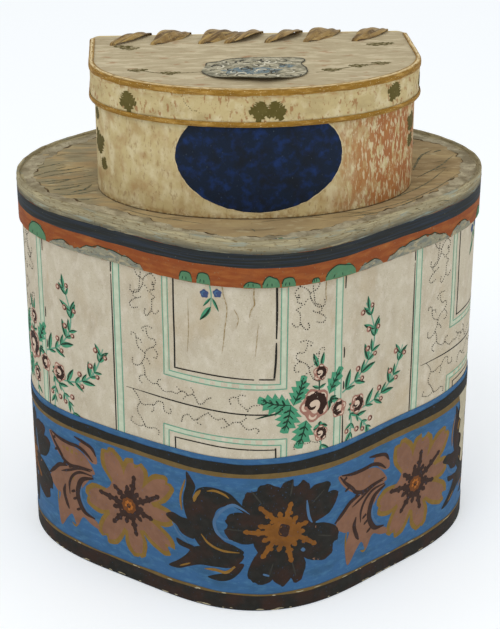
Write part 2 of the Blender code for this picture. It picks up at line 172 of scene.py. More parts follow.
def tones():
    return bpy.context.scene.hat_box_colours


# Outlines of the boxes


def distances(points):
    """How far along a run each of its points lies."""
    steps = np.linalg.norm(np.diff(points, axis=0), axis=1)
    return np.concatenate([[0.0], np.cumsum(steps)])


def leftwards(ahead):
    """Unit steps to the left of each heading."""
    return np.stack([-ahead[:, 1], ahead[:, 0]], 1) / np.maximum(np.hypot(*ahead.T), 1e-6)[:, None]


class Outline:
    """A closed outline, walked anticlockwise from the middle of the front."""

    def __init__(self, points, flat_back=None):
        closed = np.vstack([points, points[:1]])
        self.along = distances(closed)
        self.length = float(self.along[-1])
        self.points = closed
        ahead = np.roll(points, -1, 0) - np.roll(points, 1, 0)
        normal = -leftwards(ahead)
        self.normals = np.vstack([normal, normal[:1]])
        self.flat_back = flat_back

    def at(self, u, out):
        """Places at runs u round the outline, moved outwards."""
        u = np.mod(u, self.length)
        spot = [np.interp(u, self.along, self.points[:, k]) for k in (0, 1)]
        away = [np.interp(u, self.along, self.normals[:, k]) for k in (0, 1)]
        x, y = spot[0] + away[0] * out, spot[1] + away[1] * out
        if self.flat_back is not None:
            y = np.minimum(y, self.flat_back)
        return x, y

    def run_to(self, x):
        """The run to the place on the front half whose x is given."""
        quarter = self.length / 4
        u = np.linspace(-quarter, quarter, 801)
        return float(np.interp(x, self.at(u, 0)[0], u))


def large_outline():
    s = sizes()
    width, depth, bulge = s.large_width / MM, s.large_depth / MM, s.large_bulge / MM
    turn = np.linspace(0, 2 * math.pi, 1440, endpoint=False) - math.pi / 2
    radius = (width + depth) / 4 - bulge + (width - depth) / 4 * np.cos(2 * turn)
    radius = radius + bulge * np.cos(4 * turn)
    return Outline(np.stack([radius * np.cos(turn), radius * np.sin(turn)], 1))


def small_outline(flat_back=None):
    s = sizes()
    half, front, side = s.small_width / MM / 2, s.small_front / MM, s.small_side / MM
    corner = s.small_corner / MM
    turn = np.linspace(-math.pi / 2, 0, 240)
    bow = np.stack([half * np.cos(turn), front * np.sin(turn) - side], 1)
    turn = np.linspace(0, math.pi / 2, 24)
    bend = np.stack([half - corner + corner * np.cos(turn), -corner + corner * np.sin(turn)], 1)
    straight = np.stack([np.full(30, half), np.linspace(-side, -corner, 32)[1:-1]], 1)
    back = np.stack([np.linspace(half - corner, 0, 40)[1:], np.zeros(39)], 1)
    right = np.vstack([bow, straight, bend, back])
    left = right[-2:0:-1] * (-1, 1)
    return Outline(np.vstack([right, left]) + (BACK_X, BACK_Y), flat_back)


# Materials


def add(tree, kind, inputs=(), **settings):
    """A node with its settings made and its inputs filled or linked."""
    made = tree.nodes.new(kind)
    for key, value in settings.items():
        setattr(made, key, value)
    for key, value in dict(inputs).items():
        if isinstance(value, bpy.types.NodeSocket):
            tree.links.new(value, made.inputs[key])
        else:
            made.inputs[key].default_value = value
    return made


def pattern(tree, place, size, seed, detail=4.0, rough=0.55):
    """Soft random patches, as a value about one half.

    Their real size in millimetres is one number, (along, up) or (x, y, z).
    """
    if isinstance(size, (int, float)):
        size = (size, size)
    if len(size) == 2:
        size = (*size, size[0])
    grid = add(
        tree,
        "ShaderNodeMapping",
        {"Vector": place, "Location": (seed, -seed, seed / 2), "Scale": [1 / (n * MM) for n in size]},
    )
    return add(
        tree,
        "ShaderNodeTexNoise",
        {"Vector": grid.outputs[0], "Scale": 1.0, "Detail": detail, "Roughness": rough},
    ).outputs[0]


def between(tree, value, low, high, to=(0.0, 1.0)):
    """The value stretched so that low and high become the two given ends."""
    return add(
        tree,
        "ShaderNodeMapRange",
        {0: value, 1: low, 2: high, 3: to[0], 4: to[1]},
    ).outputs[0]


def tint(tree, below, colour, amount):
    """A second colour laid over the first, as far as the amount says."""
    return add(
        tree,
        "ShaderNodeMix",
        {0: amount, 6: (*below, 1) if isinstance(below, tuple) else below, 7: (*colour, 1)},
        data_type="RGBA",
    ).outputs[2]


def times(tree, one, other):
    """The product of two values."""
    return add(tree, "ShaderNodeMath", {0: one, 1: other}, operation="MULTIPLY").outputs[0]


def finish(name, base, veils, rough=0.88, grain=(0.9, 0.06), creases=None, sheen=0.0, local=True):
    """A matt paper or colour: a base with other tones over it where patterns let them show.

    A veil is (colour, patch size, low and high edge, cover, and at times a function that limits
    it to one zone). Grain and creases are each a size in millimetres and a depth for the bump.
    """
    made = bpy.data.materials.new(name)
    made.use_nodes = True
    tree = made.node_tree
    shader = tree.nodes["Principled BSDF"]
    if local:
        place = add(tree, "ShaderNodeAttribute", attribute_name="lay").outputs["Vector"]
    else:
        place = add(tree, "ShaderNodeTexCoord").outputs["Object"]
    colour = as_colour(base)
    for count, (tone, size, edges, cover, *limits) in enumerate(veils):
        amount = pattern(tree, place, size, 3.7 * count + len(name))
        amount = between(tree, amount, *edges, to=(0.0, cover))
        if limits:
            amount = times(tree, amount, limits[0](tree, place))
        colour = tint(tree, colour, as_colour(tone), amount)
    if isinstance(colour, tuple):
        shader.inputs["Base Color"].default_value = (*colour, 1)
    else:
        tree.links.new(colour, shader.inputs["Base Color"])
    height = pattern(tree, place, grain[0], 1.3, 3.0, 0.6)
    bump = add(tree, "ShaderNodeBump", {"Height": height, "Strength": 0.5, "Distance": grain[1] * MM})
    if creases:
        folds = pattern(tree, place, creases[0], 5.1, 3.0)
        inputs = {"Height": folds, "Strength": 0.6, "Distance": creases[1] * MM}
        bump = add(tree, "ShaderNodeBump", {**inputs, "Normal": bump.outputs[0]})
    tree.links.new(bump.outputs[0], shader.inputs["Normal"])
    shader.inputs["Roughness"].default_value = rough
    shader.inputs["Specular IOR Level"].default_value = 0.25
    if sheen:
        shader.inputs["Sheen Weight"].default_value = sheen
    return made


def zone(axis, low, high, soft):
    """Limits a veil to the part of the paper from low to high millimetres along an axis."""

    def limit(tree, place):
        value = add(tree, "ShaderNodeSeparateXYZ", {0: place}).outputs[axis]
        inside = []
        if low is not None:
            inside.append(between(tree, value, (low - soft) * MM, (low + soft) * MM))
        if high is not None:
            inside.append(between(tree, value, (high + soft) * MM, (high - soft) * MM))
        return inside[0] if len(inside) == 1 else times(tree, *inside)

    return limit


def print_ink(name, colour, ground, wear=0.66, tone=None):
    """Distemper printed from a wood block: matt, a little patchy, with specks worn off."""
    lighter = tuple(min(1.0, c * 1.35 + 0.01) for c in as_colour(colour))
    veils = [(lighter, 7, (0.42, 0.7), 0.45)]
    if tone:
        veils.append((tone, 22, (0.45, 0.65), 0.5))
    veils.append((ground, (1.3, 2.6), (wear, wear + 0.05), 0.6))
    return finish(name, colour, veils, 0.82, (1.2, 0.05))


# Flat shapes


def smooth(points, closed=True, steps=5):
    """A smooth run through a few points, or through rows of any values."""
    p = np.asarray(points, float)
    if closed:
        q = np.vstack([p[-1:], p, p[:2]])
    else:
        q = np.vstack([2 * p[0] - p[1], p, 2 * p[-1] - p[-2]])
    a, b, c, d = q[:-3], q[1:-2], q[2:-1], q[3:]
    t = (np.arange(steps) / steps)[:, None, None]
    run = 0.5 * (2 * b + (c - a) * t + (2 * a - 5 * b + 4 * c - d) * t**2)
    run = run + 0.5 * (3 * b - a - 3 * c + d) * t**3
    run = run.transpose(1, 0, 2).reshape(-1, p.shape[1])
    return run if closed else np.vstack([run, p[-1:]])


def stroke(points, width, ends=(0.3, 0.3), steps=5):
    """The outline of one brush line along a smooth run, thinner at its ends."""
    run = smooth(points, False, steps)
    t = np.linspace(0, 1, len(run))
    half = width / 2 * np.interp(t, (0, 0.25, 0.75, 1), (ends[0], 1, 1, ends[1]))
    side = leftwards(np.gradient(run, axis=0)) * half[:, None]
    return np.vstack([run + side, (run - side)[::-1]])


def strokes(*lines):
    """Brush lines, each given by its points, its width and at times its ends."""
    return [stroke(*line) for line in lines]


def block(left, right, low, high):
    """A flat rectangle."""
    return [(left, low), (right, low), (right, high), (left, high)]


def heading(base, tip):
    """A base as an array, the way from it to a tip, and the unit step to the left of that."""
    base = np.asarray(base, float)
    axis = np.asarray(tip, float) - base
    return base, axis, np.array([-axis[1], axis[0]]) / np.hypot(*axis)


def towards(spot, angle, reach):
    """The place that lies so far from a spot, at an angle in radians."""
    return np.asarray(spot, float) + reach * np.array([math.cos(angle), math.sin(angle)])


def leaf(base, tip, width, teeth=0, bend=0.0, cut=0.22):
    """A pointed leaf, with saw teeth where a number of them is given."""
    base, axis, side = heading(base, tip)
    steps = 2 * teeth if teeth else 8
    t = np.linspace(0, 1, steps + 1)
    half = width / 2 * np.sin(math.pi * t**0.75) ** 0.8
    reach = t.copy()
    if teeth:
        odd = np.arange(steps + 1) % 2 == 1
        half = half * np.where(odd, 1 + cut, 1 - cut)
        reach = np.where(odd, t + 0.35 / steps * 2, t)
    middle = base + axis * reach[:, None] + side * (bend * np.sin(math.pi * t))[:, None]
    left = middle + side * half[:, None]
    right = middle - side * half[:, None]
    return np.vstack([left, right[-2:0:-1]])


def blob(centre, radius, lobes, depth, turn, flat=1.0, sides=24):
    """A round or lobed spot."""
    a = np.linspace(0, 2 * math.pi, sides, endpoint=False)
    r = radius * (1 + depth * np.cos(lobes * (a - turn)))
    return np.stack([centre[0] + r * np.cos(a), centre[1] + flat * r * np.sin(a)], 1)


def petal(centre, angle, reach, width, inset, notch):
    """A broad petal out from a flower's heart, blunt or notched at its end."""
    angle = math.radians(angle)
    ahead = np.array([math.cos(angle), math.sin(angle)])
    side = np.array([-ahead[1], ahead[0]])
    long, half = reach - inset, width / 2 - inset
    shape = [(0, -0.35), (0.35, -0.75), (0.7, -1), (0.93, -0.75), (1.0, -0.3), (1.0 - notch, 0.05)]
    shape += [(1.0, 0.35), (0.9, 0.8), (0.68, 1.0), (0.35, 0.7), (0, 0.35)]
    points = [np.asarray(centre) + ahead * long * x + side * half * y for x, y in shape]
    outline = smooth(points, steps=3)
    t = np.arange(len(outline)) + 3 * angle
    ragged = ahead * np.sin(2.1 * t)[:, None] + side * np.sin(1.3 * t + 1)[:, None]
    return outline + 0.035 * half * ragged


def arc(centre, radius, start, end, width, ends=(0.3, 0.3)):
    """A curved brush line about a centre."""
    turns = np.radians(np.linspace(start, end, 7))
    points = np.stack([np.cos(turns), np.sin(turns)], 1) * radius + centre
    return stroke(points, width, ends, 3)


def shifted(outlines, du, dv=0.0, mirror=None):
    """Copies moved along the paper, or turned over about a line first."""
    moved = []
    for outline in outlines:
        outline = np.asarray(outline, float)
        if mirror is not None:
            outline = np.stack([2 * mirror - outline[:, 0], outline[:, 1]], 1)
        moved.append(outline + (du, dv))
    return moved


# Sheets and coats of colour


def uneven(u, v, depth):
    """Slow swells of a hand-pasted sheet, never below zero."""
    swell = np.sin(u / 23 + 1.3 * np.sin(v / 41)) * np.sin(v / 19 + 1.7 * np.sin(u / 57))
    return depth * (0.5 + 0.5 * swell)


def lapped(u, half):
    """How far a wrapped sheet stands off where one of its ends lies over the other."""
    return 0.25 * np.clip((u - half + 2 * LAP - 2) / LAP, 0, 1)


def round_wall(outline, out, swell=0.15):
    """Lays flat places on a wall: u round it, v up it, w off it."""

    def place(flat):
        u, v, w = flat.T
        x, y = outline.at(u, out + w + uneven(u, v, swell) + lapped(u, outline.length / 2))
        return np.stack([x, y, v], 1)

    return place


def on_top(height, swell):
    """Lays flat places on a level top."""

    def place(flat):
        u, v, w = flat.T
        return np.stack([u, v, height + w + uneven(u, v, swell)], 1)

    return place


def cut_up(outlines, cell, clip=None):
    """Flat outlines as a mesh of triangles, sliced into cells so that it can bend."""
    sheet = bmesh.new()
    for count, outline in enumerate(outlines):
        outline = np.asarray(outline, float)
        if clip and (outline[:, 0].max() < clip[0] or outline[:, 0].min() > clip[1]):
            continue
        nxt = np.roll(outline, -1, 0)
        if (outline[:, 0] * nxt[:, 1] - nxt[:, 0] * outline[:, 1]).sum() < 0:
            outline = outline[::-1]
        sheet.faces.new([sheet.verts.new((u, v, 0.002 * (count % 9))) for u, v in outline])
    if sheet.verts and clip:
        for edge, away in ((clip[0], -1), (clip[1], 1)):
            everything = sheet.verts[:] + sheet.edges[:] + sheet.faces[:]
            bmesh.ops.bisect_plane(
                sheet, geom=everything, plane_co=(edge, 0, 0), plane_no=(away, 0, 0), clear_outer=True
            )
    if sheet.verts:
        spots = np.array([v.co for v in sheet.verts])
        for axis in (0, 1):
            low, high = spots[:, axis].min(), spots[:, axis].max()
            normal = (1, 0, 0) if axis == 0 else (0, 1, 0)
            for count in range(int(low // cell) + 1, int(high // cell) + 1):
                at = [0.0, 0.0, 0.0]
                at[axis] = count * cell
                everything = sheet.verts[:] + sheet.edges[:] + sheet.faces[:]
                bmesh.ops.bisect_plane(sheet, geom=everything, plane_co=at, plane_no=normal)
    bmesh.ops.triangulate(sheet, faces=sheet.faces[:])
    sheet.verts.index_update()
    verts = np.array([v.co[:] for v in sheet.verts]).reshape(-1, 3)
    faces = np.array([[v.index for v in f.verts] for f in sheet.faces], int).reshape(-1, 3)
    sheet.free()
    return verts, faces


def strip(us, low, high, rows):
    """A flat sheet from us[0] to us[-1] whose lower and upper edges may wander."""
    low, high = np.broadcast_to(low, us.shape), np.broadcast_to(high, us.shape)
    t = np.linspace(0, 1, rows + 1)[:, None]
    v = low + (high - low) * t
    u = np.broadcast_to(us, v.shape)
    verts = np.stack([u, v, np.zeros_like(v)], 2).reshape(-1, 3)
    n = len(us)
    a = (np.arange(rows)[:, None] * n + np.arange(n - 1)).ravel()
    faces = np.vstack([np.stack([a, a + 1, a + n + 1], 1), np.stack([a, a + n + 1, a + n], 1)])
    return verts, faces


def thicken(verts, faces, lift, thick):
    """A closed body from a flat sheet, its upper side at the lift."""
    n = len(verts)
    upper, lower = verts.copy(), verts.copy()
    upper[:, 2] += lift
    lower[:, 2] += lift - thick
    edges = np.vstack([faces[:, (0, 1)], faces[:, (1, 2)], faces[:, (2, 0)]])
    codes, back = edges[:, 0] * n + edges[:, 1], edges[:, 1] * n + edges[:, 0]
    rim = edges[~np.isin(codes, back)]
    a, b = rim.T
    sides = np.vstack([np.stack([a + n, b + n, b], 1), np.stack([a + n, b, a], 1)])
    return np.vstack([upper, lower]), np.vstack([faces, faces[:, ::-1] + n, sides])


def body(name, verts, faces, materials, lay, indices=None, smooth_angle=35):
    """A finished mesh object in metres, with its flat places kept for its materials."""
    mesh = bpy.data.meshes.new(name)
    mesh.from_pydata((np.asarray(verts) * MM).tolist(), [], [list(map(int, face)) for face in faces])
    for material in materials:
        mesh.materials.append(material)
    if indices is not None:
        mesh.polygons.foreach_set("material_index", np.asarray(indices, np.int32))
    kept = mesh.attributes.new("lay", "FLOAT_VECTOR", "POINT")
    kept.data.foreach_set("vector", (np.asarray(lay) * MM).astype(np.float32).ravel())
    mesh.polygons.foreach_set("use_smooth", [True] * len(mesh.polygons))
    mesh.set_sharp_from_angle(angle=math.radians(smooth_angle))
    mesh.update()
    obj = bpy.data.objects.new(name, mesh)
    bpy.context.scene.collection.objects.link(obj)
    return obj


def short_of_seam(outline):
    """The run that a print may cover, from one side of the seam at the back to the other."""
    return SEAM_MARGIN - outline.length / 2, outline.length / 2 - SEAM_MARGIN


def coats(name, layers, place, cell, clip=None):
    """One object of printed coats: each layer is a material, its lift and its outlines or mesh."""
    verts, faces, indices, count = [], [], [], 0
    for index, (_, lift, shapes) in enumerate(layers):
        flat, sides = shapes if isinstance(shapes, tuple) else cut_up(shapes, cell, clip)
        if not len(flat):
            continue
        solid, skin = thicken(flat, sides, lift, COAT)
        verts.append(solid)
        faces.append(skin + count)
        indices.append(np.full(len(skin), index))
        count += len(solid)
    flat = np.vstack(verts)
    materials = [material for material, _, _ in layers]
    return body(name, place(flat), np.vstack(faces), materials, flat, np.concatenate(indices))


def wrap(name, outline, out, low, high, material, swell=0.15, step=4.0, rows=30, ends=None):
    """A sheet pasted right round a wall, its ends lapped over each other at the back."""
    half = outline.length / 2
    first, last = ends or (-half - LAP, half)
    us = np.linspace(first, last, int((last - first) / step) + 1)
    lows = low(us) if callable(low) else low
    highs = high(us) if callable(high) else high
    flat, sides = strip(us, lows, highs, rows)
    solid, skin = thicken(flat, sides, 0.0, PAPER)
    return body(name, round_wall(outline, out, swell)(solid), skin, [material], solid)


def lid_sheet(name, outline, out, steps, cell, place, material):
    """A sheet cut to a lid's outline."""
    half = outline.length / 2
    edge = np.stack(outline.at(np.linspace(-half, half, steps)[:-1], out), 1)
    solid, skin = thicken(*cut_up([edge], cell), 0.0, PAPER)
    return body(name, place(solid), skin, [material], solid)


def attach(obj, rides_on, slot, *replaced):
    """Says which body a piece moves with and hides the CAD nodes it stands for; the slot is not used."""
    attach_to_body(obj, rides_on)
    if replaced:
        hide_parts(*replaced)
    return obj


# Dots and flecks that follow a run


def dots_tree():
    """Geometry Nodes that set small discs along every run of a curve."""
    tree = bpy.data.node_groups.new("Dots along runs", "GeometryNodeTree")
    tree.interface.new_socket("Geometry", in_out="OUTPUT", socket_type="NodeSocketGeometry")
    tree.interface.new_socket("Geometry", in_out="INPUT", socket_type="NodeSocketGeometry")
    kinds = {"Spacing": "Float", "Size": "Float", "Smallest": "Float", "Scatter": "Vector"}
    kinds.update({"Sides": "Int", "Seed": "Int", "Finish": "Material"})
    for label, kind in kinds.items():
        tree.interface.new_socket(label, in_out="INPUT", socket_type="NodeSocket" + kind)
    given = add(tree, "NodeGroupInput").outputs
    runs = add(
        tree,
        "GeometryNodeResampleCurve",
        {"Curve": given["Geometry"], "Length": given["Spacing"]},
        mode="LENGTH",
    )
    back = add(
        tree, "ShaderNodeVectorMath", {0: given["Scatter"], 1: (-1, -1, -1)}, operation="MULTIPLY"
    )
    shift = add(
        tree,
        "FunctionNodeRandomValue",
        {0: back.outputs[0], 1: given["Scatter"], "Seed": given["Seed"]},
        data_type="FLOAT_VECTOR",
    )
    moved = add(tree, "GeometryNodeSetPosition", {"Geometry": runs.outputs[0],
        "Offset": shift.outputs[0]})
    grown = add(
        tree,
        "FunctionNodeRandomValue",
        {2: given["Smallest"], 3: 1.0, "Seed": given["Seed"]},
        data_type="FLOAT",
    )
    radius = add(tree, "ShaderNodeMath", {0: given["Size"], 1: 0.5}, operation="MULTIPLY")
    disc = add(
        tree,
        "GeometryNodeMeshCircle",
        {"Vertices": given["Sides"], "Radius": radius.outputs[0]},
        fill_type="NGON",
    )
    dots = add(
        tree,
        "GeometryNodeInstanceOnPoints",
        {"Points": moved.outputs[0], "Instance": disc.outputs[0], "Scale": grown.outputs[1]},
    )
    real = add(tree, "GeometryNodeRealizeInstances", {"Geometry": dots.outputs[0]})
    named = add(tree, "GeometryNodeSetMaterial", {"Geometry": real.outputs[0],
        "Material": given["Finish"]})
    add(tree, "NodeGroupOutput", {"Geometry": named.outputs[0]})
    return tree


def dots_along(runs, material, spacing, size, smallest=0.7, scatter=0.12, sides=6, seed=0, limit=None):
    """A flat mesh of small discs along smooth runs."""
    curve = bpy.data.curves.new("dot runs", "CURVE")
    curve.dimensions = "3D"
    for run in runs:
        points = smooth(run, False, 4) * MM
        spline = curve.splines.new("POLY")
        spline.points.add(len(points) - 1)
        for point, spot in zip(spline.points, points):
            point.co = (spot[0], spot[1], 0, 1)
    obj = bpy.data.objects.new("dot runs", curve)
    bpy.context.scene.collection.objects.link(obj)
    tree = bpy.data.node_groups.get("Dots along runs") or dots_tree()
    nodes = obj.modifiers.new("dots", "NODES")
    nodes.node_group = tree
    values = {"Spacing": spacing * MM, "Size": size * MM, "Smallest": smallest, "Sides": sides}
    values.update({"Scatter": (scatter * MM, scatter * MM, 0.0), "Seed": sizes().seed + seed})
    values["Finish"] = material
    for item in tree.interface.items_tree:
        if item.in_out == "INPUT" and item.name in values:
            nodes[item.identifier] = values[item.name]
    graph = bpy.context.evaluated_depsgraph_get()
    mesh = bpy.data.meshes.new_from_object(obj.evaluated_get(graph))
    mesh.calc_loop_triangles()
    verts = np.array([v.co[:] for v in mesh.vertices]).reshape(-1, 3) / MM
    faces = np.array([t.vertices[:] for t in mesh.loop_triangles], int).reshape(-1, 3)
    bpy.data.objects.remove(obj)
    bpy.data.meshes.remove(mesh)
    a, b, c = (verts[faces[:, k], :2] for k in range(3))
    turned = (b[:, 0] - a[:, 0]) * (c[:, 1] - a[:, 1]) < (c[:, 0] - a[:, 0]) * (b[:, 1] - a[:, 1])
    faces[turned] = faces[turned][:, ::-1]
    if limit is not None:
        faces = faces[(np.abs(verts[faces, 0]) < limit).all(1)]
    return verts, faces


# The wallpaper's pattern, one repeat with the middle of its panel a little left of the front


def panel_lines():
    """Green double lines and black lines of the panels: (mint, green, black)."""
    top = sizes().wall_height / MM
    low = 140.0
    mint = [block(-91, -88, 222, top), block(13.5, 17, 222, top)]
    mint.append([(-90, 221.5), (17, 219.5), (17, 224), (-90, 226.5)])
    mint += [block(-92, -87.5, low, 168), block(13.5, 17.5, low, 167)]
    mint.append([(-92, 168.5), (17, 166), (17, 170.5), (-92, 172.5)])
    green = strokes(
        ([(-92, top), (-92.3, 290), (-91.8, 250), (-92, 220.5)], 1.1, (1, 1)),
        ([(-92.4, 220.6), (-50, 220), (-5, 219), (18.4, 218.6)], 1.1, (1, 1)),
        ([(18, 218.2), (18.3, 260), (18.6, 300), (18.8, top)], 1.1, (1, 1)),
        ([(-86.8, top), (-86.9, 290), (-86.5, 250), (-86.6, 225.4)], 1.0, (1, 1)),
        ([(-87, 225.4), (-50, 225.2), (-5, 223.8), (13, 223.4)], 1.0, (1, 1)),
        ([(12.6, 223), (12.8, 260), (13, 300), (13.3, top)], 1.0, (1, 1)),
    )
    for a, b in (((-93.5, 172.8), (18.6, 171.2)), ((-88, 168), (13.6, 165.6))):
        green.append(stroke([a, ((a[0] + b[0]) / 2, a[1] - 0.2), b], 1.1, (1, 1)))
        green += [stroke([(x, v), (x - 0.4, low)], 1.1, (1, 1)) for x, v in (a, b)]
    black = strokes(
        ([(-80.6, top), (-81, 290), (-80.6, 255), (-80.8, 229)], 1.6, (0.7, 1)),
        ([(-81.3, 229.6), (-60, 230), (-40, 229.6), (-9.5, 228.4)], 1.3, (1, 0.8)),
        ([(-5.5, 228.6), (0, 228.4), (8.3, 228)], 1.3, (0.8, 0.8)),
        ([(7.4, 229), (8.6, 245), (9, 262)], 1.9, (0.9, 0.6)),
        ([(9, 265.5), (9.4, 290), (9.2, 312), (9.3, top)], 1.9, (0.6, 0.8)),
        ([(-82.3, 162.8), (-60, 163.2), (-30, 162.2), (9.6, 161.4)], 1.2, (0.8, 0.8)),
        ([(-81.6, 163), (-81.6 + 0.2, 150), (-81.6, low)], 1.4, (1, 0.8)),
        ([(8.9, 163), (8.9 + 0.2, 150), (8.9, low)], 1.4, (1, 0.8)),
        ([(-133.5, 197), (-100, 197.4), (-60, 197.2), (-20, 195.6), (6, 195.4), (9, 196.2)], 1.3),
    )
    for left, right, line in ((-144.2, -137.6, -146.6), (70.2, 63.6, 73)):
        a, b = min(left, right), max(left, right)
        mint.append(block(a + 0.5, b - 0.5, low, top))
        for x in (left, right):
            green.append(stroke([(x, low), (x + 0.3, 200), (x - 0.2, 260), (x, top)], 1.2, (1, 1)))
        gaps = (low, 183, 206, 214, 236, 246, 300, top) if line > 0 else (low, 300, 302, top)
        for bottom, upper in zip(gaps[::2], gaps[1::2]):
            middle = (bottom + upper) / 2
            black.append(stroke([(line, bottom), (line + 0.3, middle), (line, upper)], 1.4, (0.8, 0.5)))
    return mint, green, black


def scroll_runs():
    """Curling runs of the dotted scrolls on the left half of one repeat and along its middle."""
    side = [
        [(-114.5, 309), (-115.7, 299), (-116.8, 293), (-121.5, 291), (-123, 286), (-119, 284.5),
         (-115, 286.5)],
        [(-119, 284.5), (-124, 281.5), (-127, 278), (-124.5, 274.5), (-118.5, 276)],
        [(-101.7, 303), (-100.5, 297), (-104.6, 295), (-103.4, 292), (-99.9, 290), (-102.8, 287)],
        [(-102.8, 287), (-103.4, 280), (-102.8, 276), (-99.3, 274.5), (-96.4, 278)],
        [(-104, 276.3), (-108.7, 270.8), (-111.6, 272.8), (-110.4, 276.3)],
        [(-104, 260.5), (-108.7, 261), (-114.5, 258), (-113.3, 255.6)],
        [(-110, 258), (-109.3, 253.5), (-106.3, 250), (-101.7, 250.6), (-99.9, 246.5), (-102.8, 243)],
        [(-102.8, 243), (-108.7, 239.5), (-111.6, 235), (-112.2, 231.4), (-114.5, 226.7),
         (-116.8, 223.2)],
        [(-116.8, 223.2), (-121.5, 220.9), (-125.6, 222), (-125.6, 226.7)],
        [(-126.2, 249), (-125.6, 251.4), (-121.5, 250), (-120.9, 244), (-118.6, 238.4), (-112.5, 235.4)],
        [(-120.9, 247), (-116.8, 246.5), (-115.7, 244)],
        [(-102.8, 242.4), (-98.8, 238.4), (-99.3, 233.7), (-102.2, 233)],
        [(-112.2, 230.8), (-108.7, 229.6), (-106.9, 226.1)],
        [(-115, 224), (-112.7, 219.7), (-112.2, 214), (-109.2, 210.4), (-104, 208), (-99.3, 209.2),
         (-95, 205.7)],
        [(-99.3, 209.2), (-98.8, 212.7), (-95.8, 214)],
        [(-113, 214), (-118, 211.5), (-118.6, 207.5), (-116.2, 205.7)],
        [(-125.6, 196.4), (-120.3, 190.5), (-118.6, 186.5), (-114.5, 184.7), (-109.2, 186.5),
         (-102.8, 188.2)],
        [(-102.8, 188.2), (-99.3, 192.3), (-93.5, 192.3), (-92.9, 186), (-88.8, 184), (-85.3, 185.3),
         (-86, 188.5)],
        [(-104.6, 187), (-103.4, 183.5), (-105.7, 180.6)],
        [(-118.6, 186), (-121.5, 181.2), (-121.5, 175.4), (-118.6, 172.4), (-114.5, 166),
         (-113.3, 164.3)],
        [(-114.5, 165), (-119.7, 162.5), (-126.2, 163.7), (-129.7, 166), (-127.9, 169)],
        [(-113.3, 163.7), (-108.7, 163.7), (-102.8, 165.4), (-98.8, 163.7), (-99.3, 160.2)],
    ]
    middle = [
        [(-95, 205.7), (-91.2, 204), (-84.2, 205.7), (-79.5, 205.1), (-74.8, 208.6), (-71.3, 208.6),
         (-67.8, 206.3)],
        [(-67.8, 206.3), (-63.2, 208), (-59.7, 203.4), (-58.5, 200.5), (-53.8, 201.6), (-50.9, 205.7),
         (-46.8, 208)],
        [(-74.8, 208.6), (-78.9, 211.5)],
        [(-63.2, 208.6), (-62.6, 211.5), (-65, 214)],
        [(-69, 206.3), (-72.5, 202.2)],
        [(-29.3, 205), (-30.5, 208.6), (-27, 211.5), (-22.9, 210.4), (-22.3, 206.3), (-17.7, 202.2),
         (-14.7, 199)],
        [(-22.9, 210.4), (-21.8, 214), (-17, 213.3)],
        [(-14.7, 200.5), (-10.7, 204), (-4.9, 205), (0, 209)],
        [(-74.8, 180), (-73, 185.3), (-67.8, 188.2), (-63.2, 184), (-59.7, 185.3), (-52.7, 191),
         (-49.2, 193.5)],
        [(-49.2, 193.5), (-45.7, 190.5), (-41, 188.2), (-35.7, 190), (-31, 184.7), (-27, 187.6),
         (-21.2, 188.2)],
        [(-21.2, 188.2), (-17.7, 183.5), (-13.6, 181.2), (-8.3, 183), (-5.4, 180.6), (-6.6, 178.3)],
        [(-31, 184.7), (-34.6, 181.8), (-37.5, 181.2)],
        [(-59.7, 184.7), (-59, 181.8), (-56.2, 181.2)],
        [(-21.2, 188.2), (-16.5, 191.7), (-16.5, 194.6)],
    ]
    side += shifted(side[5:13], 0, 68)
    turned = shifted(side, 0, 0, mirror=-37.0)
    clear_of_roses = [run for run in turned if run[:, 1].min() > 212 or run[:, 1].max() < 176]
    return side + clear_of_roses + middle


def rose(ink, centre, radius, turn):
    """A printed rose: pink outer petals, a pale heart and a dark curled shadow."""
    u, v = centre
    ink["rose"].append(blob(centre, radius, 5, 0.1, turn, 1.12, 30))
    for step in range(5):
        a = turn + step * 1.257
        spot = (u + 0.62 * radius * math.cos(a), v + 0.7 * radius * math.sin(a))
        ink["rose_pale"].append(arc(spot, 0.25 * radius, math.degrees(a) - 90, math.degrees(a) + 90,
            0.17 * radius))
    ink["rose_pale"].append(blob((u - 0.05 * radius, v - 0.05 * radius), 0.42 * radius, 3, 0.14, turn,
        1.2))
    start = math.degrees(turn)
    ink["rose_dark"].append(arc((u, v), 0.6 * radius, start - 110, start + 140, 0.5 * radius, (0.5, 0.6)))
    for step in range(5):
        a = turn - 1.6 + 0.8 * step
        spot = (u + 0.72 * radius * math.cos(a), v + 0.78 * radius * math.sin(a))
        ink["rose_dark"].append(blob(spot, 0.17 * radius, 0, 0, 0, 1, 9))
    ink["rose_dark"].append(arc((u - 0.2 * radius, v + 0.05 * radius), 0.27 * radius, 150, 330,
        0.2 * radius))


def veined_leaf(ink, base, tip, width, teeth, bend):
    """A toothed green leaf with a dark midrib and side veins."""
    ink["leaf_green"].append(leaf(base, tip, width, teeth, bend, 0.3))
    base, axis, side = heading(base, tip)
    ink["leaf_dark"].append(stroke([base, base + axis * 0.5 + side * bend * 0.8, base + axis * 0.9], 1.3))
    for step in range(1, teeth):
        root = base + axis * (step / (teeth + 0.6)) + side * bend * math.sin(math.pi * step / (teeth + 1))
        for way in (-1, 1):
            out = root + axis * 0.13 + side * way * width * 0.3 * (1 - 0.5 * step / teeth)
            ink["leaf_dark"].append(stroke([root, out], 1.0 if way > 0 else 1.8, (1, 0.2)))


def small_leaf(ink, base, tip, width):
    """A plain leaf, dark along one side."""
    ink["leaf_green"].append(leaf(base, tip, width))
    base, axis, side = heading(base, tip)
    spots = [base, base + axis * 0.5 + side * width * 0.2, base + axis * 0.97]
    ink["leaf_dark"].append(stroke(spots, width * 0.36))


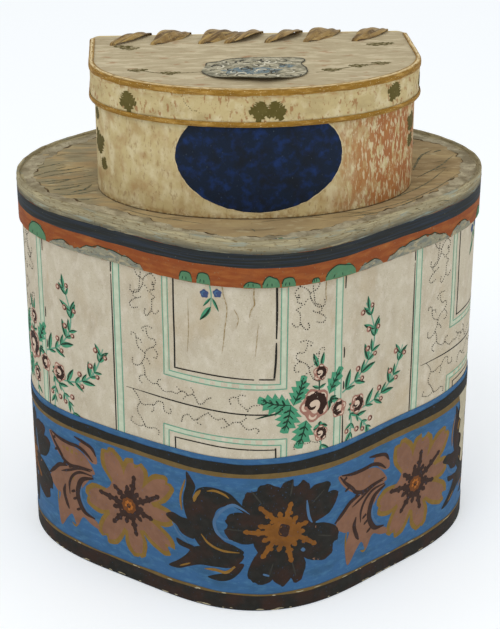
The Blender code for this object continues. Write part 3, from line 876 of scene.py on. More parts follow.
def berry(ink, centre, radius):
    """A small pink berry, dark to one side."""
    ink["rose"].append(blob(centre, radius * 1.15, 0, 0, 0, 1, 14))
    ink["rose_pale"].append(blob((centre[0] - 0.2, centre[1] + 0.2), radius * 0.42, 0, 0, 0, 1, 10))
    ink["rose_dark"].append(arc(centre, radius * 0.75, -110, 90, radius * 0.42))


def twig(ink, points, leaf_size, berries, spacing):
    """A thin branch with pairs of leaves, and berries on short stalks between them."""
    run = smooth(points, False, 8)
    ink["line_green"].append(stroke(points, 1.7, (1, 0.5)))
    along = distances(run)
    count = max(2, int(along[-1] // spacing))
    for step in range(count):
        at = along[-1] * (step + 0.4 + 0.25 * math.sin(3 * step)) / count
        spot = np.array([np.interp(at, along, run[:, k]) for k in (0, 1)])
        ahead = np.array([np.interp(at + 2, along, run[:, k]) for k in (0, 1)]) - spot
        turn = math.atan2(ahead[1], ahead[0])
        for way in (-1, 1):
            a = turn + way * (0.62 + 0.28 * math.sin(2.3 * step + way))
            long = leaf_size * (1 - 0.25 * step / count) * (1 + 0.3 * math.sin(1.9 * step + 2 * way))
            tip = towards(spot, a, long)
            small_leaf(ink, spot, tip, long * 0.31)
        if step % 2 and step // 2 < berries:
            at = min(at + spacing / 2, along[-1])
            knot = np.array([np.interp(at, along, run[:, k]) for k in (0, 1)])
            for angle, stalk, size in ((turn + 1.1, 8, 2.5), (turn - 1, 5.5, 2.1)):
                fruit = towards(knot, angle, stalk)
                ink["line_green"].append(stroke([knot, fruit], 1.0, (1, 1)))
                berry(ink, fruit, size)


def spray(ink):
    """The spray of roses, leaves and berries that crosses from panel to panel."""
    ink["leaf_dark"].append(stroke([(-8.5, 191.5), (0, 194), (9, 196), (15, 200)], 1.5, (0.3, 1)))
    for base, tip, width, teeth, bend in (
        ((22, 202.5), (-6.5, 210.5), 17, 5, 2),
        ((24, 202), (33.5, 229), 15, 5, -1.5),
        ((22, 203), (15.5, 176.5), 19, 5, 1),
        ((58, 206), (71, 228.5), 13, 4, 1),
        ((36, 186), (28, 160), 17, 4, 1),
    ):
        veined_leaf(ink, base, tip, width, teeth, bend)
    small_leaf(ink, (46.5, 234), (41.6, 247.8), 4.6)
    small_leaf(ink, (49.5, 234), (52, 247.2), 4)
    ink["leaf_dark"].append(stroke([(47.7, 222), (47.9, 216), (47.7, 212)], 1.2, (1, 1)))
    for base, tips, width in (
        ((48, 214), ((41, 217.5), (54.5, 217)), 3),
        ((58.5, 200), ((65.5, 202.5), (57, 190), (60.5, 196), (69, 198)), 5),
        ((49, 178), ((42.5, 175), (57, 176), (50, 182)), 5),
        ((86, 186), ((85, 181), (80, 190), (78.5, 184)), 4.5),
    ):
        for tip in tips:
            small_leaf(ink, base, tip, width)
    for centre, radius, turn in (
        ((44.2, 199), 13.5, 0.7),
        ((48.8, 228.4), 6.8, 0.2),
        ((68.7, 189.4), 7.6, 2.8),
        ((89.8, 187), 8.2, -0.4),
        ((50, 170.6), 6.6, 0.3),
    ):
        rose(ink, centre, radius, turn)
    for points, leaf_size, berries, spacing in (
        ([(72, 203), (80, 207), (90, 212.5), (101, 224), (107, 235), (108.5, 250), (104, 266), (97, 280)],
         15, 5, 10),
        ([(96, 181), (107, 183), (116, 186), (130, 195), (139, 209), (145, 226)], 13.5, 4, 10),
        ([(81, 184), (83, 173), (82, 160), (80, 146)], 10, 2, 8),
        ([(86, 178), (96, 168), (104, 158), (109, 148)], 10, 2, 8),
        ([(50, 163), (51, 154), (50, 144)], 8, 0, 10),
    ):
        twig(ink, points, leaf_size, berries, spacing)


def hanging_sprig(ink):
    """Small blue flowers that hang in the panel from above."""
    ink["line_green"].append(stroke([(-47, 346), (-44.5, 330), (-47, 315), (-45.5, 303), (-46, 292)], 1.2,
        (1, 0.6)))
    for base, tip, width in (
        ((-46, 292), (-56, 278.6), 5),
        ((-44.5, 300), (-39, 288.5), 2.6),
        ((-46, 300), (-53, 291.5), 2.2),
        ((-47, 313), (-40, 318), 4),
        ((-46, 318), (-54, 324), 4),
        ((-45, 328), (-37, 335), 5),
        ((-46, 334), (-55, 341), 5),
    ):
        small_leaf(ink, base, tip, width)
    for spot in ((-51.6, 303.2), (-40.2, 305), (-52, 330)):
        ink["blue_flower"].append(blob(spot, 3.7, 5, 0.12, 0.4, 1, 20))
        ink["sky"].append(arc(spot, 1.9, 60, 250, 1.2))


def wall_cracks():
    """Brown cracks and drips in the wallpaper over the front."""
    return strokes(
        ([(-36, 312), (-35, 304), (-32, 292), (-34, 274), (-35, 262), (-36.5, 251)], 0.7, (1, 0.3)),
        ([(-26, 292), (-22.5, 284), (-24.5, 275)], 0.6, (0.4, 0.2)),
        ([(-9.5, 312), (-9.8, 303), (-9.2, 297), (-12, 292), (-13.5, 285)], 0.9, (1, 0.3)),
        ([(-6, 280), (-7.5, 262), (-8.5, 250)], 0.5, (0.3, 0.3)),
        ([(-67, 296), (-66.5, 270), (-68, 246)], 0.45, (0.3, 0.3)),
        ([(53, 312), (52.4, 302), (53.4, 293)], 0.7, (1, 0.3)),
    )


# The border's pattern, one repeat


def mauve_flower(ink):
    """Eight ochre-edged mauve petals round a dark star with an orange heart."""
    heart = (-134.5, 77.4)
    petals = (
        (115, 57, 27, 0.04), (78, 50, 31, 0.1), (40, 61, 27, 0.05), (3, 50, 22, 0.08),
        (-34, 58, 26, 0.12), (-79, 52, 25, 0.02), (-124, 54, 29, 0.08), (-173, 51, 30, 0.04),
    )
    for angle, reach, width, notch in petals:
        ink["ochre"].append(petal(heart, angle, reach, width, 0, notch))
        ink["mauve"].append(petal(heart, angle, reach, width - 1, 4.0, notch))
    ink["mauve"].append(blob(heart, 27, 7, 0.08, 0.3))
    arms = (
        (77, 31), (32, 38), (-14, 25), (-73, 28), (-127, 28), (174, 32), (134, 21), (97, 18),
        (56, 17), (5, 14), (-42, 16), (-100, 17), (-160, 17),
    )
    star_arms(ink, "brown", heart, arms, 9)
    ink["orange"].append(blob(heart, 7.8, 9, 0.08, 0.4))
    for k in range(7):
        spot = (heart[0] + 3.4 * math.cos(k * 2.4), heart[1] + 3.6 * math.sin(k * 2.4))
        ink["glow"].append(blob(spot, 1.5, 3, 0.2, k, 1, 9))
    ink["pip"].append(arc(heart, 1.6, 120, 380, 1.4))


def star_arms(ink, name, heart, arms, start):
    """Knobbly arms like the stamens of a flower."""
    for angle, reach in arms:
        a = math.radians(angle)
        ahead, side = np.array([math.cos(a), math.sin(a)]), np.array([-math.sin(a), math.cos(a)])
        outwards = (start * 0.7, reach * 0.6, reach)
        spots = [np.asarray(heart) + ahead * r + side * math.sin(r * 1.3) * 0.8 for r in outwards]
        ink[name].append(stroke(spots, 4.4, (1.3, 0.7)))
        ink[name].append(blob(spots[2], 2.5, 3, 0.14, a, 1, 12))
        for share in (0.45, 0.68):
            for way in (-1, 1):
                knob = np.asarray(heart) + ahead * reach * share + side * way * (1.2 + 1.9 * (1 - share))
                ink[name].append(blob(knob, 2.0, 0, 0, 0, 1, 9))


def mauve_scroll(ink):
    """The mauve leaf that curls up to the mauve flower from its left."""
    ink["mauve"] += [
        smooth([(-234, 121), (-222, 121), (-205, 118), (-187, 114), (-176, 103), (-174, 96),
                (-190, 97), (-212, 98), (-226, 108)]),
        smooth([(-191, 123), (-180, 126), (-172, 119), (-170, 109), (-177, 108), (-186, 115)]),
        smooth([(-236, 72), (-224, 86), (-208, 94), (-190, 97), (-176, 95), (-184, 84), (-192, 72),
                (-190, 58), (-181, 50), (-173, 47), (-170, 40), (-180, 42), (-190, 46), (-198, 34),
                (-204, 44), (-211, 38), (-221, 26), (-224, 46), (-220, 60), (-226, 62)]),
    ]
    ink["ochre"] += strokes(
        ([(-223, 64), (-224, 50), (-223, 34)], 1.8),
        ([(-205, 35), (-200, 33), (-196, 40)], 2.2),
        ([(-214, 112), (-200, 111), (-186, 106)], 4.2),
        ([(-206, 92), (-199, 82), (-196, 73)], 2.4),
    )
    ink["brown"] += strokes(
        ([(-230, 121.5), (-218, 119), (-204, 118.5), (-192, 119), (-182, 115), (-175, 109)], 3.6),
        ([(-197, 128), (-186, 126), (-176, 123), (-171, 116)], 3.4),
        ([(-232, 121), (-226, 113), (-217, 104), (-213, 99), (-203, 96), (-190, 98.5), (-176, 100)], 3.6),
        ([(-237, 75), (-228, 83), (-219, 91), (-208, 94)], 4),
        ([(-217, 85), (-206, 90), (-191, 97), (-178, 98)], 2.6),
        ([(-206, 65), (-206, 76), (-201, 86), (-191, 93), (-176, 94)], 2.8),
        ([(-212, 73), (-214, 64), (-211, 54), (-208, 48)], 4.2),
        ([(-175, 92), (-189, 86), (-195, 73), (-194, 62), (-187, 52), (-175, 49.5)], 5.4, (0.35, 0.2)),
    )
    for u, v in ((-224, 118), (-221, 107), (-209, 97), (-201, 96), (-197, 64), (-193, 54), (-199, 71)):
        ink["brown"].append(stroke([(u, v), (u - 5, v - 3)], 2.6, (1, 0.2)))
    ink["sky"].append(stroke([(-187, 89), (-191, 79), (-191, 67), (-186, 57), (-178, 52)], 2.4))


def dark_flower(ink):
    """Seven dark petals round a knobbly orange star."""
    heart = (16.8, 81.4)
    petals = (
        (121, 50, 38, 0.06), (76, 50, 30, 0.14), (34, 58, 35, 0.12), (-29, 58, 38, 0.06),
        (-84, 57, 32, 0.12), (-115, 58, 26, 0.0), (175, 52, 32, 0.05),
    )
    for angle, reach, width, notch in petals:
        ink["dark_petal"].append(petal(heart, angle, reach, width, 0, notch))
    ink["dark_petal"].append(blob(heart, 30, 7, 0.05, 0.3))
    arms = (
        (130, 31), (76, 26), (10, 20), (-34, 34), (-77, 32), (-127, 31), (-178, 33), (163, 21),
        (103, 17), (45, 15), (-12, 17), (-55, 18), (-102, 19), (-152, 19),
    )
    star_arms(ink, "star", heart, arms, 6)
    ink["star"].append(blob(heart, 11.5, 8, 0.1, 0.2))
    ink["brown"].append(blob(heart, 5.0, 4, 0.1, 0.5, 1.35))
    ink["sky"] += strokes(
        ([(37.5, 108), (38.5, 98), (40, 90), (43, 84)], 2.6),
        ([(33, 60), (36, 57)], 3.4, (0.7, 0.5)),
        ([(-1.5, 38), (4, 36)], 2, (0.7, 0.5)),
    )
    ink["mauve"] += [stroke([(46, 79), (49, 78.5)], 2.4, (0.7, 0.4)), stroke([(44, 47), (50, 44)], 2)]
    for angle in (118, 74, 34, -27, -84, -113, 172):
        spots = [towards(heart, math.radians(angle) + 0.12, reach) for reach in (34, 42, 50)]
        ink["petal_light"].append(stroke(spots, 1.4))


def dark_scroll(ink):
    """The dark leaf that curls up to the dark flower from its left."""
    ink["dark_petal"] += [
        smooth([(-71, 132), (-66, 127), (-62, 119), (-65, 108), (-62, 100), (-66, 88), (-70, 84),
                (-74, 96), (-74, 108), (-71, 120)]),
        smooth([(-93, 82), (-86, 87), (-77, 85), (-66, 84), (-64, 76), (-64, 66), (-76, 68), (-82, 75)]),
        smooth([(-82, 62), (-74, 60), (-64, 58), (-64, 52), (-70, 54), (-80, 56)]),
        smooth([(-91, 31), (-80, 31), (-70, 36), (-58, 41), (-44, 42), (-28, 44), (-18, 56), (-30, 64),
                (-48, 62), (-64, 58), (-72, 48), (-80, 40)]),
        smooth([(-51, 30), (-40, 28), (-30, 31), (-22, 39), (-18, 48), (-26, 47), (-34, 38), (-44, 34)]),
        smooth([(-64, 110), (-58, 119), (-46, 122), (-32, 119), (-24, 112), (-14, 100), (-12, 94),
                (-22, 103), (-32, 106), (-42, 100), (-45, 88), (-43, 78), (-36, 70), (-26, 66),
                (-18, 60), (-26, 54), (-40, 52), (-56, 58), (-66, 72), (-68, 90)]),
    ]
    ink["star_dull"] += strokes(
        ([(-63.5, 104), (-62, 110), (-57, 117)], 3.6),
        ([(-51, 117.5), (-44, 119), (-36, 117), (-31, 113.5)], 2.2),
        ([(-57, 73), (-50, 65), (-38, 60), (-22, 59.5)], 2.2),
        ([(-54, 38), (-44, 39), (-34, 38), (-26, 45)], 3, (0.2, 0.6)),
        ([(-76, 92), (-77, 106), (-72, 124)], 2.2),
        ([(-79, 34), (-68, 40)], 1.6),
    )
    ink["sky"] += strokes(
        ([(-13, 99), (-20, 104), (-28, 107), (-37, 101), (-44, 90), (-43, 80), (-37, 73), (-28, 71)], 3.2,
         (0.1, 0.3)),
        ([(-86, 77), (-80, 67), (-70, 60)], 2.2),
    )


def border_edge(u):
    """Height of the border paper's top edge, which was pasted a little askew."""
    return BORDER_TOP + 3.9 * np.sin(u / 188.5) + 0.3 * np.sin(u / 17)


def band(first, last, low, high):
    """A stripe whose two edges may wander."""
    us = np.linspace(first, last, max(2, int((last - first) / STRIPE_STEP)))
    return np.vstack([np.stack([us, low(us)], 1), np.stack([us, high(us)], 1)[::-1]])


def level(height, wander, share=0.0):
    """An edge at a height, wandering a little, that follows the askew top by a share."""

    def edge(u):
        slant = share * (border_edge(u) - BORDER_TOP)
        ripple = np.sin(u / LONG_WAVE + height) + 0.6 * np.sin(u / SHORT_WAVE + 2 * height)
        return height + slant + wander * ripple

    return edge


# Operators: the boards and the large box


class HATBOX_OT_boards(bpy.types.Operator):
    """Give the bare boards and linings their pasteboard and plain paper"""

    bl_idname = "hat_box.boards"
    bl_label = "Boards and linings"

    def execute(self, context):
        tone = tones()
        # Pasteboard rolled from rags and straw: grey brown, with fibres and darker flecks
        board = finish(
            "pasteboard",
            tone.board,
            [("#6b5c43", 2.2, (0.55, 0.7), 0.7), ("#a89674", 14, (0.45, 0.7), 0.5)],
            grain=(0.8, 0.15),
            local=False,
        )
        # Plain rag paper pasted inside: pale, foxed with soft brown spots
        lining = finish(
            "plain rag paper",
            tone.lining,
            [("#9c8660", 45, (0.5, 0.68), 0.6), ("#7d6238", 6, (0.68, 0.74), 0.5)],
            creases=(26, 0.5),
            local=False,
        )
        papers = ("large_lining", "large_lid_lining", "small_lining", "small_lid_lining")
        boards = ("large_wall", "large_bottom", "large_lid_rim", "large_lid_board", "small_wall")
        boards += ("small_bottom", "small_lid_board", "small_lid_rim")
        for names, material in ((papers, lining), (boards, board)):
            for name in names:
                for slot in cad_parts[name].material_slots:
                    slot.material = material
        return {"FINISHED"}


def inked(names, ground):
    """Ink materials by name, each wearing to its paper's ground."""
    tone = tones()
    extra = {
        "sky": "#41607f",
        "scallop": "#4c7554",
        "petal_light": "#2f2d27",
        "glow": "#9a5a1c",
        "pip": "#2b1a10",
        "star": "#774a15",
        "star_dull": "#7b5a22",
        "fleck": "#a59a7c",
        "stripe": "#64502a",
        "torn": "#a89f86",
    }
    clouds = {"dark_petal": "#3c2013", "mauve": "#875f48", "star": "#4f3012"}
    made = {}
    for name in names:
        colour = extra.get(name) or getattr(tone, name)
        made[name] = print_ink(name.replace("_", " ") + " distemper", colour, ground,
            tone=clouds.get(name))
    return made


def repeats(shapes, span):
    """Two repeats to either side of the one at the front, which is more than the wall takes."""
    return [piece for k in range(-2, 3) for piece in shifted(shapes, k * span)]


class HATBOX_OT_wallpaper(bpy.types.Operator):
    """Paste the block-printed wallpaper round the large box"""

    bl_idname = "hat_box.wallpaper"
    bl_label = "Wallpaper"

    def execute(self, context):
        outline, tone, s = large_outline(), tones(), sizes()
        half, span = outline.length / 2, s.repeat / MM
        ground = tone.wallpaper
        # Rag paper with a brushed ground: warm grey, darker fibres and soft stains down the sheet
        paper = finish("brushed wallpaper ground", ground, [
            ("#a99c86", (16, 30), (0.45, 0.7), 0.6),
            ("#cfc6b4", (9, 14), (0.5, 0.72), 0.6),
            ("#94866e", (1.1, 1.4), (0.58, 0.7), 0.5),
            ("#ddd5c5", (0.9, 1.3), (0.6, 0.72), 0.5),
            ("#a58a5f", (60, 90), (0.55, 0.75), 0.45),
            ("#a3875a", (18, 90), (0.6, 0.72), 0.4, zone(1, 250, None, 30)),
        ], creases=((12, 30), 0.35))
        sheet = wrap("wallpaper", outline, WALL_OUT, 0.0, s.wall_height / MM, paper, rows=44)
        attach(sheet, "large_box", "printed_wallpaper", "large_wall_paper")
        order = ("mint", "line_green", "black", "leaf_green", "leaf_dark", "rose", "rose_pale")
        ink = {name: [] for name in order + ("rose_dark", "blue_flower", "sky")}
        ink["mint"], ink["line_green"], ink["black"] = panel_lines()
        spray(ink)
        hanging_sprig(ink)
        materials = inked(ink, ground)
        top = s.wall_height / MM - 0.3
        layers = []
        for count, (name, shapes) in enumerate(ink.items()):
            shapes = repeats(shapes, span)
            kept = [np.clip(piece, (-np.inf, BORDER_COVERS), (np.inf, top)) for piece in shapes]
            layers.append((materials[name], WALL_COATS[0] + WALL_COATS[1] * count, kept))
        runs = [run for run in repeats(scroll_runs(), span) if np.max(run[:, 1]) < top]
        spacing, size = s.dot_spacing / MM, s.dot_size / MM
        dots = dots_along(runs, materials["black"], spacing, size, sides=5, limit=half - 1)
        layers.append((materials["black"], 0.3, dots))
        crack = finish("brown crack in paper", "#8b7348", [("#b5a688", (2, 3), (0.46, 0.56), 0.9)])
        layers.append((crack, 0.33, wall_cracks()))
        place = round_wall(outline, WALL_OUT)
        prints = coats("wallpaper_print", layers, place, 10.0, short_of_seam(outline))
        attach(prints, "large_box", "printed_wallpaper")
        return {"FINISHED"}


class HATBOX_OT_border(bpy.types.Operator):
    """Paste the blue floral border round the foot of the large box"""

    bl_idname = "hat_box.border"
    bl_label = "Border paper"

    def execute(self, context):
        outline, tone, s = large_outline(), tones(), sizes()
        half, span = outline.length / 2, s.repeat / MM
        ground = tone.border_blue
        # Distemper blue brushed flat: uneven, paler where it has rubbed
        blue = finish("brushed blue distemper", ground, [
            ("#2a4e68", (30, 14), (0.45, 0.7), 0.7),
            ("#4a7896", (10, 4), (0.5, 0.72), 0.5),
            ("#6f8a96", (1.6, 1.2), (0.66, 0.72), 0.5),
        ], 0.8, creases=((14, 30), 0.3))
        sheet = wrap("border_paper", outline, BORDER_OUT, 0.0, border_edge, blue, rows=26, step=3.0)
        attach(sheet, "large_box", "blue_border_paper", "large_border_paper")
        order = ("ochre", "mauve", "dark_petal", "petal_light", "sky", "star_dull", "star", "brown")
        order += ("orange", "glow", "pip")
        ink = {name: [] for name in order}
        for draw in (mauve_flower, mauve_scroll, dark_scroll, dark_flower):
            draw(ink)
        materials = inked(order + ("black", "fleck", "stripe", "torn"), ground)
        layers = []
        for count, (name, shapes) in enumerate(ink.items()):
            lift = BORDER_COATS[0] + BORDER_COATS[1] * count
            layers.append((materials[name], lift, repeats(shapes, span)))
        first, last = -half - STRIPE_PAST, half + STRIPE_PAST
        stripes = {
            "stripe": [band(first, last, level(134.0, 0.4, 0.3), level(139.4, 0.3, 0.6)),
                       band(first, last, level(15.0, 0.5), level(17.8, 0.5))],
            "black": [band(first, last, level(138.8, 0.3, 0.6), level(148.2, 0.4, 1.0))],
            "dark_petal": [band(first, last, lambda u: 0.4 + 0 * u, level(15.4, 0.4))],
        }
        for count, (name, shapes) in enumerate(stripes.items()):
            layers.append((materials[name], 0.37 + 0.03 * count, shapes))
        rng = random.Random(s.seed)
        flecks = []
        for _ in range(150):
            u, v = rng.uniform(-half, half), rng.choice((0.8, 1.2, 15.6)) + rng.random()
            long = rng.uniform(1, 9)
            spots = [(u, v), (u + long / 2, v + rng.uniform(-0.3, 0.5)), (u + long, v)]
            flecks.append(stroke(spots, rng.uniform(0.4, 1.1), (0.2, 0.2), 2))
        layers.append((materials["fleck"], 0.47, flecks))
        tear = [(238, 141), (242, 128), (239, 118), (246, 112), (242, 100), (249, 94), (246, 84),
                (253, 78), (250, 66), (258, 61), (266, 70), (262, 84), (268, 96), (263, 110),
                (269, 122), (265, 141)]
        layers.append((materials["torn"], 0.5, [tear]))
        shreds = [stroke(tear[k : k + 3], 1.6, (0.3, 0.3), 2) for k in (1, 4, 7, 9, 12)]
        layers.append((materials["brown"], 0.54, shreds + [blob((292, 58), 4, 3, 0.3, 0.6, 0.7)]))
        place = round_wall(outline, BORDER_OUT)
        prints = coats("border_print", layers, place, 6.0, short_of_seam(outline))
        attach(prints, "large_box", "blue_border_paper")
        return {"FINISHED"}


def profiled(outline, profile, wear):
    """Lays flat places along a run and up a profile of (offset, height) points."""
    shape = smooth(profile, False, 4)
    along = distances(shape)
    normal = -leftwards(np.gradient(shape, axis=0))

    def place(flat):
        u, v, w = flat.T
        out, z, away, rise = (np.interp(v, along, line) for line in (*shape.T, *normal.T))
        w = w + wear * (np.sin(u / 7.3 + v) * np.sin(u / 19.1 + 2 * v) + 0.4 * np.sin(u / 2.9))
        x, y = outline.at(u, out + away * w)
        return np.stack([x, y, z + rise * w], 1)

    return place, float(along[-1])


def hooped(name, outline, profile, material, rows, step, thick, wear, ends=None, foot=None):
    """A strip folded along a run by its profile, at times with a ragged foot."""
    place, height = profiled(outline, profile, wear)
    half = outline.length / 2
    first, last = ends or (-half - STRIPE_PAST, half + STRIPE_PAST)
    us = np.linspace(first, last, int((last - first) / step) + 1)
    flat, sides = strip(us, foot(us) if foot else 0.0, height, rows)
    if ends is None:
        flat[:, 2] += np.where(np.abs(flat[:, 0]) > half - 1.5, 0.1, 0)
    solid, skin = thicken(flat, sides, 0.0, thick)
    return body(name, place(solid), skin, [material], solid)


def join(name, *objects):
    """One object from several."""
    with bpy.context.temp_override(active_object=objects[0], selected_editable_objects=list(objects)):
        bpy.ops.object.join()
    objects[0].name = name
    return objects[0]


def pleats(flat):
    """Folds that the top paper throws at the two ends of the lid."""
    x, y = flat[:, 0], flat[:, 1]
    out = np.clip((np.abs(x) - 142) / 40, 0, 1)
    fan = np.arctan2(y, x)
    folds = np.sin(fan * 31 + 2 * np.sin(fan * 13)) * np.sin(np.abs(x) / 9.0 + 3 * fan)
    return 0.9 * out * (0.5 + 0.5 * folds)


def on_pleats(flat):
    """Lays flat places on the large lid's top."""
    return np.stack([flat[:, 0], flat[:, 1], LARGE_TOP + flat[:, 2] + pleats(flat)], 1)


class HATBOX_OT_large_lid(bpy.types.Operator):
    """Paper the large lid: worn top, folded lip and striped rim"""

    bl_idname = "hat_box.large_lid"
    bl_label = "Large lid"

    def execute(self, context):
        outline, tone = large_outline(), tones()
        half = outline.length / 2
        # Old wallpaper turned face up and browned: streaked tan, rubbed pale, greyer at its ends
        top = finish("browned top paper", tone.top_paper, [
            ("#bea777", (60, 26), (0.45, 0.68), 0.7),
            ("#8b8468", (34, 12), (0.42, 0.56), 0.75, zone(0, None, -105, 40)),
            ("#7f6a45", (40, 16), (0.46, 0.62), 0.6, zone(0, 70, None, 60)),
            ("#6b5c3f", (46, 7), (0.58, 0.66), 0.5),
            ("#c5b68f", (16, 6), (0.58, 0.68), 0.5),
            ("#5b4c33", (3, 2), (0.66, 0.72), 0.7),
        ], creases=((40, 5), 0.5), local=False)
        # The same paper turned down outside: grey white, darker downwards, cracked across
        fold = finish("worn folded paper", "#988e70", [
            ("#b3a782", (26, 26, 1.8), (0.48, 0.62), 0.8),
            ("#857a5c", (34, 34, 1.4), (0.5, 0.6), 0.8),
            ("#4f4e44", (30, 30, 3), (0.2, 0.5), 0.9, zone(2, None, 346.5, 3.4)),
            ("#6d5a38", (5, 5, 1.2), (0.58, 0.64), 0.8),
            ("#3b3628", (0.9, 0.9, 12), (0.66, 0.7), 0.8),
            ("#8c9a92", (30, 30, 4), (0.58, 0.66), 0.5),
        ], creases=((2.2, 2.2, 14), 0.5), local=False)
        disc = lid_sheet("large_lid_top_paper", outline, -0.9, 300, 7.0, on_pleats, top)
        lip = [(3.0, FOLD_FOOT), (3.1, 346), (3.0, 351), (2.95, 353), (2.4, LARGE_LIP_TOP), (1.4, 354.6),
               (0.4, 354.4)]
        lip += [(-0.2, 353.6), (-0.5, 352.4), (-1.4, 351.9), (-3.2, 351.75)]

        def torn_foot(u):
            return 0.5 + 0.5 * np.sin(u / 4.3) * np.sin(u / 13.7)

        rolled = hooped("large_lid_fold", outline, lip, fold, 22, 2.5, PAPER, 0.22, foot=torn_foot)
        attach(join("large_lid_top_paper", disc, rolled), "large_lid", "aged_top_paper",
               "large_lid_paper")

        rust = finish("rust distemper", tone.rust, [
            ("#a5662f", (22, 5), (0.45, 0.7), 0.6),
            ("#7a4020", (12, 7), (0.5, 0.7), 0.6),
            ("#8a7a5c", (1.5, 2.6), (0.66, 0.7), 0.7),
        ], 0.82, creases=((2.4, 16), 0.3))

        def torn_edge(u):
            return LARGE_RIM_FOOT + 0.4 + 0.35 * np.sin(u / 3.1) * np.sin(u / 11.3)

        rim = wrap("large_rim_paper", outline, LARGE_RIM_OUT, torn_edge, FOLD_FOOT + 0.6, rust, 0.1, 2.5,
                   16)
        attach(rim, "large_lid", "striped_rim_paper", "large_lid_rim_paper")
        self.print_rim(outline, tone, half)
        self.draw_top()
        return {"FINISHED"}

    def print_rim(self, outline, tone, half):
        """The black band, the green scallops and the grey torn places of the rim."""
        materials = inked(("scallop", "leaf_dark"), tone.rust)
        # Distemper black with a blue cast, streaked along the band
        black = finish(
            "blue black distemper",
            "#1d1f1c",
            [("#252e3a", (70, 1.6), (0.45, 0.6), 0.8), ("#3a3a30", (40, 1.1), (0.58, 0.66), 0.6),
             ("#8a8468", (1.2, 1.6), (0.7, 0.74), 0.7)],
            0.75,
        )
        # Bare grey paper where the rust layer has torn away
        torn = finish(
            "torn grey paper",
            "#86836f",
            [("#6a6f68", (12, 4), (0.45, 0.6), 0.8), ("#a79a7b", (7, 3), (0.52, 0.64), 0.8),
             ("#5b4a34", (2, 1.4), (0.6, 0.66), 0.8)],
            creases=((4, 2), 0.6),
        )
        greens, darks, patches = [], [], []
        for left, right, top in (
            (-248, -219, 327), (-73, -61, 323.5), (-57, -45, 325), (-3, 11, 324), (12.5, 24, 323),
            (50, 81, 325.5), (-18, -4, 319.5), (38, 45, 319), (252, 268, 324),
        ):
            width, middle = (right - left) / 2, (left + right) / 2
            a = np.linspace(0, math.pi, 13)
            ripple = 1 + 0.08 * np.sin(a * max(3, round(width / 2)))
            rise = (top - 314) * ripple * np.sin(a) ** 0.8
            crown = np.stack([middle + width * np.cos(a), 313 + rise], 1)
            greens.append(crown)
            darks.append(stroke(crown[1:-1:2] - (0, 0.4), 0.9, (0.2, 1)))
            for k in (-1, 0.2):
                vein = [(middle + k * width * 0.5, 314), (middle + k * width * 0.4, 317)]
                darks.append(stroke(vein, 0.7))
        for left, right, top in (
            (-214, -182, 319.5), (-186, -109, 323.5), (84, 113, 319.5), (118, 199, 323.8),
            (200, 236, 322), (-330, -290, 321), (330, 372, 322),
        ):
            us = np.linspace(left, right, max(6, int((right - left) / 3)))
            t = (us - left) / (right - left)
            rise = np.sin(math.pi * t) ** 0.6 * (top - 313.2)
            rise = rise + 0.9 * np.sin(us / 2.3) + 0.6 * np.sin(us / 0.9)
            upper = np.stack([us, 312.9 + np.maximum(rise, 0.3)], 1)
            patches.append(np.vstack([[(left, 312.8)], upper, [(right, 312.8)]]))
            darks.append(stroke(upper[1:-1:2] + (0, 0.3), 0.8, (0.4, 0.4), 2))
        us = (-half - STRIPE_PAST, half + STRIPE_PAST)
        layers = [
            (black, 0.1, [band(*us, level(330.2, 0.35), level(342.1, 0.2))]),
            (torn, 0.14, patches),
            (materials["scallop"], 0.18, greens),
            (materials["leaf_dark"], 0.22, darks),
        ]
        place = round_wall(outline, LARGE_RIM_OUT, 0.1)
        prints = coats("large_rim_print", layers, place, 5.0, short_of_seam(outline))
        attach(prints, "large_lid", "striped_rim_paper")

    def draw_top(self):
        """Faded printed lines that still show in the browned top paper."""
        faded = finish("faded green print", "#4c5648", [("#8c7c58", 3, (0.42, 0.56), 0.85)], local=False)
        lines = []
        for points, width in (
            ([(-188, -20), (-170, -8), (-145, 0)], 1.6),
            ([(-190, -30), (-165, -24), (-140, -12)], 1.4),
            ([(-186, -42), (-165, -40), (-140, -30)], 1.2),
            ([(-176, -60), (-158, -62), (-136, -52)], 1.3),
            ([(-168, -70), (-150, -76), (-132, -72)], 1.1),
            ([(160, 60), (150, 40), (140, 10)], 1.4),
            ([(190, 20), (172, -10), (146, -40)], 1.6),
            ([(176, -18), (150, -58), (110, -96), (60, -124), (0, -140)], 1.5),
            ([(186, -30), (160, -66), (120, -104), (70, -130)], 1.1),
            ([(120, -118), (104, -134), (84, -144)], 1.8),
            ([(-120, -96), (-90, -120), (-50, -140)], 1.0),
            ([(-194, -14), (-180, -2), (-166, 2), (-150, 10)], 2.4),
            ([(-196, 4), (-184, 14), (-172, 20)], 2.0),
            ([(-176, -50), (-162, -46), (-150, -38)], 3.0),
            ([(-160, -58), (-148, -50), (-142, -38)], 2.2),
            ([(-182, -34), (-170, -30), (-160, -22)], 2.6),
            ([(172, 34), (160, 20), (150, -6), (146, -20)], 2.2),
            ([(60, -134), (90, -128), (118, -112), (150, -82)], 1.6),
        ):
            lines.append(stroke(points, width, (0.1, 0.3)))
        rng = random.Random(sizes().seed)
        for _ in range(40):
            a = rng.uniform(0, 2 * math.pi)
            r = rng.uniform(0.8, 0.95)
            spot = r * LID_REACH * (math.cos(a), math.sin(a))
            turn = a + rng.uniform(0.2, 0.9)
            tip = towards(spot, turn, rng.uniform(5, 13))
            lines.append(stroke([spot, (spot + tip) / 2 + 1, tip], rng.uniform(0.7, 2.2), (0.2, 0.2)))
